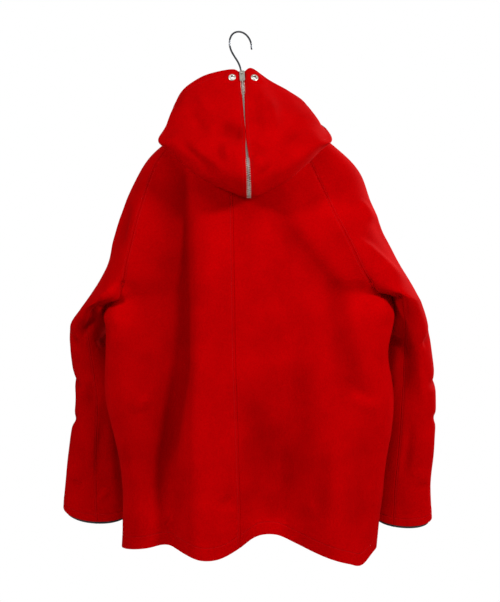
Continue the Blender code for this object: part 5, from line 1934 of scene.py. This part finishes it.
class HangerOperator(Operator):
    """Smooth the hanger's arms and its wire hook"""

    bl_idname = "coat.hanger"
    bl_label = "Hanger"

    def execute(self, context):
        for node, kind in (("hanger_body", "hanger"), ("hanger_hook", "steel")):
            part = smoothed_copy(node, 2)
            assembled(f"smooth_{node}", [part], Matrix.Identity(4), kind, [node], sharp=60.0)
        return {"FINISHED"}


class StitchOperator(Operator):
    """Sew the topstitching along the seams, hems, cuffs, hood and fronts"""

    bl_idname = "coat.stitches"
    bl_label = "Stitches"

    def execute(self, context):
        pitch = context.scene.coat_trims.stitch_pitch
        places = [stitch_places(line, outs, pitch) for line, outs in sewn_lines()]
        points, bases = (np.concatenate(group) for group in zip(*places))
        add_piece("stitches", copies("stitches", stitch(), points, bases, "thread"), slot="melton")
        return {"FINISHED"}


class StageOperator(Operator):
    """Set up the pale floor, the soft studio lights and the camera"""

    bl_idname = "coat.stage"
    bl_label = "Studio"

    def execute(self, context):
        build_floor()
        build_lights(context.scene.coat_stage)
        build_camera()
        return {"FINISHED"}


# ---------------------------------------------------------------- stage

LAMPS = [
    # name, place and size in metres, and the setting that holds its power
    ("key_light", (1.7, 1.5, 0.4), 0.4, "key_power"),
    ("back_top", (-0.1, 1.5, 0.9), 0.9, "top_power"),
    ("fill_light", (-1.9, 1.4, 0.4), 0.45, "fill_power"),
    ("front_key", (-1.7, -1.5, 0.5), 0.8, "fill_power"),
    ("front_top", (0.1, -1.5, 1.2), 0.9, "top_power"),
]
LIT_POINT = Vector((0.0, 0.0, -0.5))
ROOM_IN_METAL = 0.5  # how brightly metal mirrors the white room
FLOOR_RADIUS, FLOOR_HEIGHT = 0.92, -1.42
SENSOR = 36.0


def build_floor():
    """A round pale floor below the coat, too small to show behind it."""
    mesh = bpy.data.meshes.new("floor")
    shape = bmesh.new()
    bmesh.ops.create_circle(shape, cap_ends=True, segments=96, radius=FLOOR_RADIUS)
    bmesh.ops.translate(shape, vec=(0.0, 0.0, FLOOR_HEIGHT), verts=shape.verts)
    shape.to_mesh(mesh)
    shape.free()
    made, tree, place = begin_finish("painted_floor")
    worn = add_node(tree, "TexNoise", {"Scale": 1000.0 / 300.0, "Detail": 4.0, "Vector": place})
    shades = [(0.3, "#E9E8E6"), (0.7, "#F1F0EE")]
    colour = add_node(tree, "ValToRGB", {"Fac": worn, "stops": shades})
    mesh.materials.append(end_finish(made, {"Base Color": colour, "Roughness": 0.7}))
    new_object("floor", mesh)


def build_lights(stage):
    """A white room seen by the camera, gentler on the cloth, and soft lamps on all sides."""
    for name, place, size, setting in LAMPS:
        light = bpy.data.lights.new(name, "AREA")
        light.shape = "DISK"
        light.size = size
        light.energy = getattr(stage, setting)
        holder = new_object(name, light)
        holder.location = place
        holder.rotation_euler = (LIT_POINT - Vector(place)).to_track_quat("-Z", "Y").to_euler()
    world = bpy.data.worlds.new("white_room")
    bpy.context.scene.world = world
    world.use_nodes = True
    tree = world.node_tree
    tree.nodes.clear()
    white = (1.0, 1.0, 1.0, 1.0)
    seen_room = add_node(tree, "Background", {"Color": white, "Strength": 1.0})
    lit_room = add_node(tree, "Background", {"Color": white, "Strength": stage.room_light})
    mirrored = add_node(tree, "LightPath", {}, "Is Glossy Ray")
    shown = {"operation": "MULTIPLY_ADD", 0: mirrored, 1: ROOM_IN_METAL}
    shown = add_node(tree, "Math", {**shown, 2: add_node(tree, "LightPath", {}, "Is Camera Ray")})
    both = add_node(tree, "MixShader", {0: shown, 1: lit_room, 2: seen_room})
    add_node(tree, "OutputWorld", {"Surface": both})
    bpy.context.scene.view_settings.view_transform = "Standard"
    bpy.context.scene.view_settings.look = "None"


def build_camera():
    """The picture's camera: level, 2.4 m behind the coat."""
    lens = bpy.data.cameras.new("camera")
    lens.sensor_fit = "AUTO"
    lens.sensor_width = SENSOR
    lens.lens = SENSOR * EYE[1] / (PICTURE_HEIGHT * PIXEL)
    lens.clip_start, lens.clip_end = 0.05, 50.0
    camera = new_object("camera", lens)
    camera.location = (EYE - HOOK_TOP) * MM
    camera.rotation_euler = (math.radians(90), 0.0, math.radians(180))
    bpy.context.scene.camera = camera


# ---------------------------------------------------------------- settings and panel


def colour_property(name, description, colour):
    return FloatVectorProperty(
        name=name, description=description, subtype="COLOR", default=linear(colour)[:3], min=0.0, max=1.0
    )


class ClothSettings(PropertyGroup):
    colour: colour_property("Wool", "Colour of the melton", "#C20003")
    lining_colour: colour_property("Lining", "Colour of the lining in the cuffs", "#2A1C22")
    nap_depth: FloatProperty(
        name="Nap depth", description="How deep the felted fibres look", default=0.35, min=0.0, max=2.0
    )


class StageSettings(PropertyGroup):
    key_power: FloatProperty(
        name="Key light", description="Lamp behind the coat's left sleeve", default=28.0, unit="POWER"
    )
    fill_power: FloatProperty(
        name="Fill lights", description="Lamps at the coat's right sleeve", default=42.0, unit="POWER"
    )
    top_power: FloatProperty(
        name="Top lights", description="Lamps above, behind and before", default=6.5, unit="POWER"
    )
    room_light: FloatProperty(
        name="Room light", description="How much the white room lights the cloth", default=0.1, min=0.0
    )


class TrimSettings(PropertyGroup):
    metal_colour: colour_property("Zip and clasps", "Colour of the plated metal", "#D8D2C8")
    wire_colour: colour_property("Hook", "Colour of the hanger's wire", "#505256")
    wood_colour: colour_property("Hanger", "Colour of the hanger's wood", "#C8975F")
    tape_colour: colour_property("Zip tape", "Colour of the zip's tape", "#940509")
    thread_colour: colour_property("Thread", "Colour of the sewing thread", "#C2050A")
    tooth_pitch: FloatProperty(
        name="Tooth pitch", description="Millimetres between the teeth of one row", default=4.2, min=2.4
    )
    stitch_pitch: FloatProperty(
        name="Stitch pitch", description="Millimetres from stitch to stitch", default=3.5, min=2.0
    )


SETTINGS = {"coat_cloth": ClothSettings, "coat_trims": TrimSettings, "coat_stage": StageSettings}
STEPS = [
    PanelsOperator,
    HoodOperator,
    ZipOperator,
    SliderOperator,
    EyeletOperator,
    LiningOperator,
    ClaspOperator,
    HangerOperator,
    StitchOperator,
    StageOperator,
]


class CoatPanel(Panel):
    """Lists the steps that build the coat"""

    bl_idname = "VIEW3D_PT_coat"
    bl_label = "Wool coat"
    bl_space_type = "VIEW_3D"
    bl_region_type = "UI"
    bl_category = "Coat"

    def draw(self, context):
        for name in SETTINGS:
            settings = getattr(context.scene, name)
            box = self.layout.box()
            for key in settings.bl_rna.properties.keys():
                if key not in ("rna_type", "name"):
                    box.prop(settings, key)
        for step in STEPS:
            self.layout.operator(step.bl_idname)


def register():
    for made in [*SETTINGS.values(), *STEPS, CoatPanel]:
        bpy.utils.register_class(made)
    for key, group in SETTINGS.items():
        setattr(bpy.types.Scene, key, PointerProperty(type=group))


def unregister():
    for key in SETTINGS:
        delattr(bpy.types.Scene, key)
    for made in [CoatPanel, *reversed(STEPS), *SETTINGS.values()]:
        bpy.utils.unregister_class(made)


def main():
    register()
    bpy.ops.coat.panels()
    bpy.ops.coat.hood()
    bpy.ops.coat.zip()
    bpy.ops.coat.slider()
    bpy.ops.coat.eyelets()
    bpy.ops.coat.linings()
    bpy.ops.coat.clasps()
    bpy.ops.coat.hanger()
    bpy.ops.coat.stitches()
    bpy.ops.coat.stage()


if __name__ == "__main__":
    main()
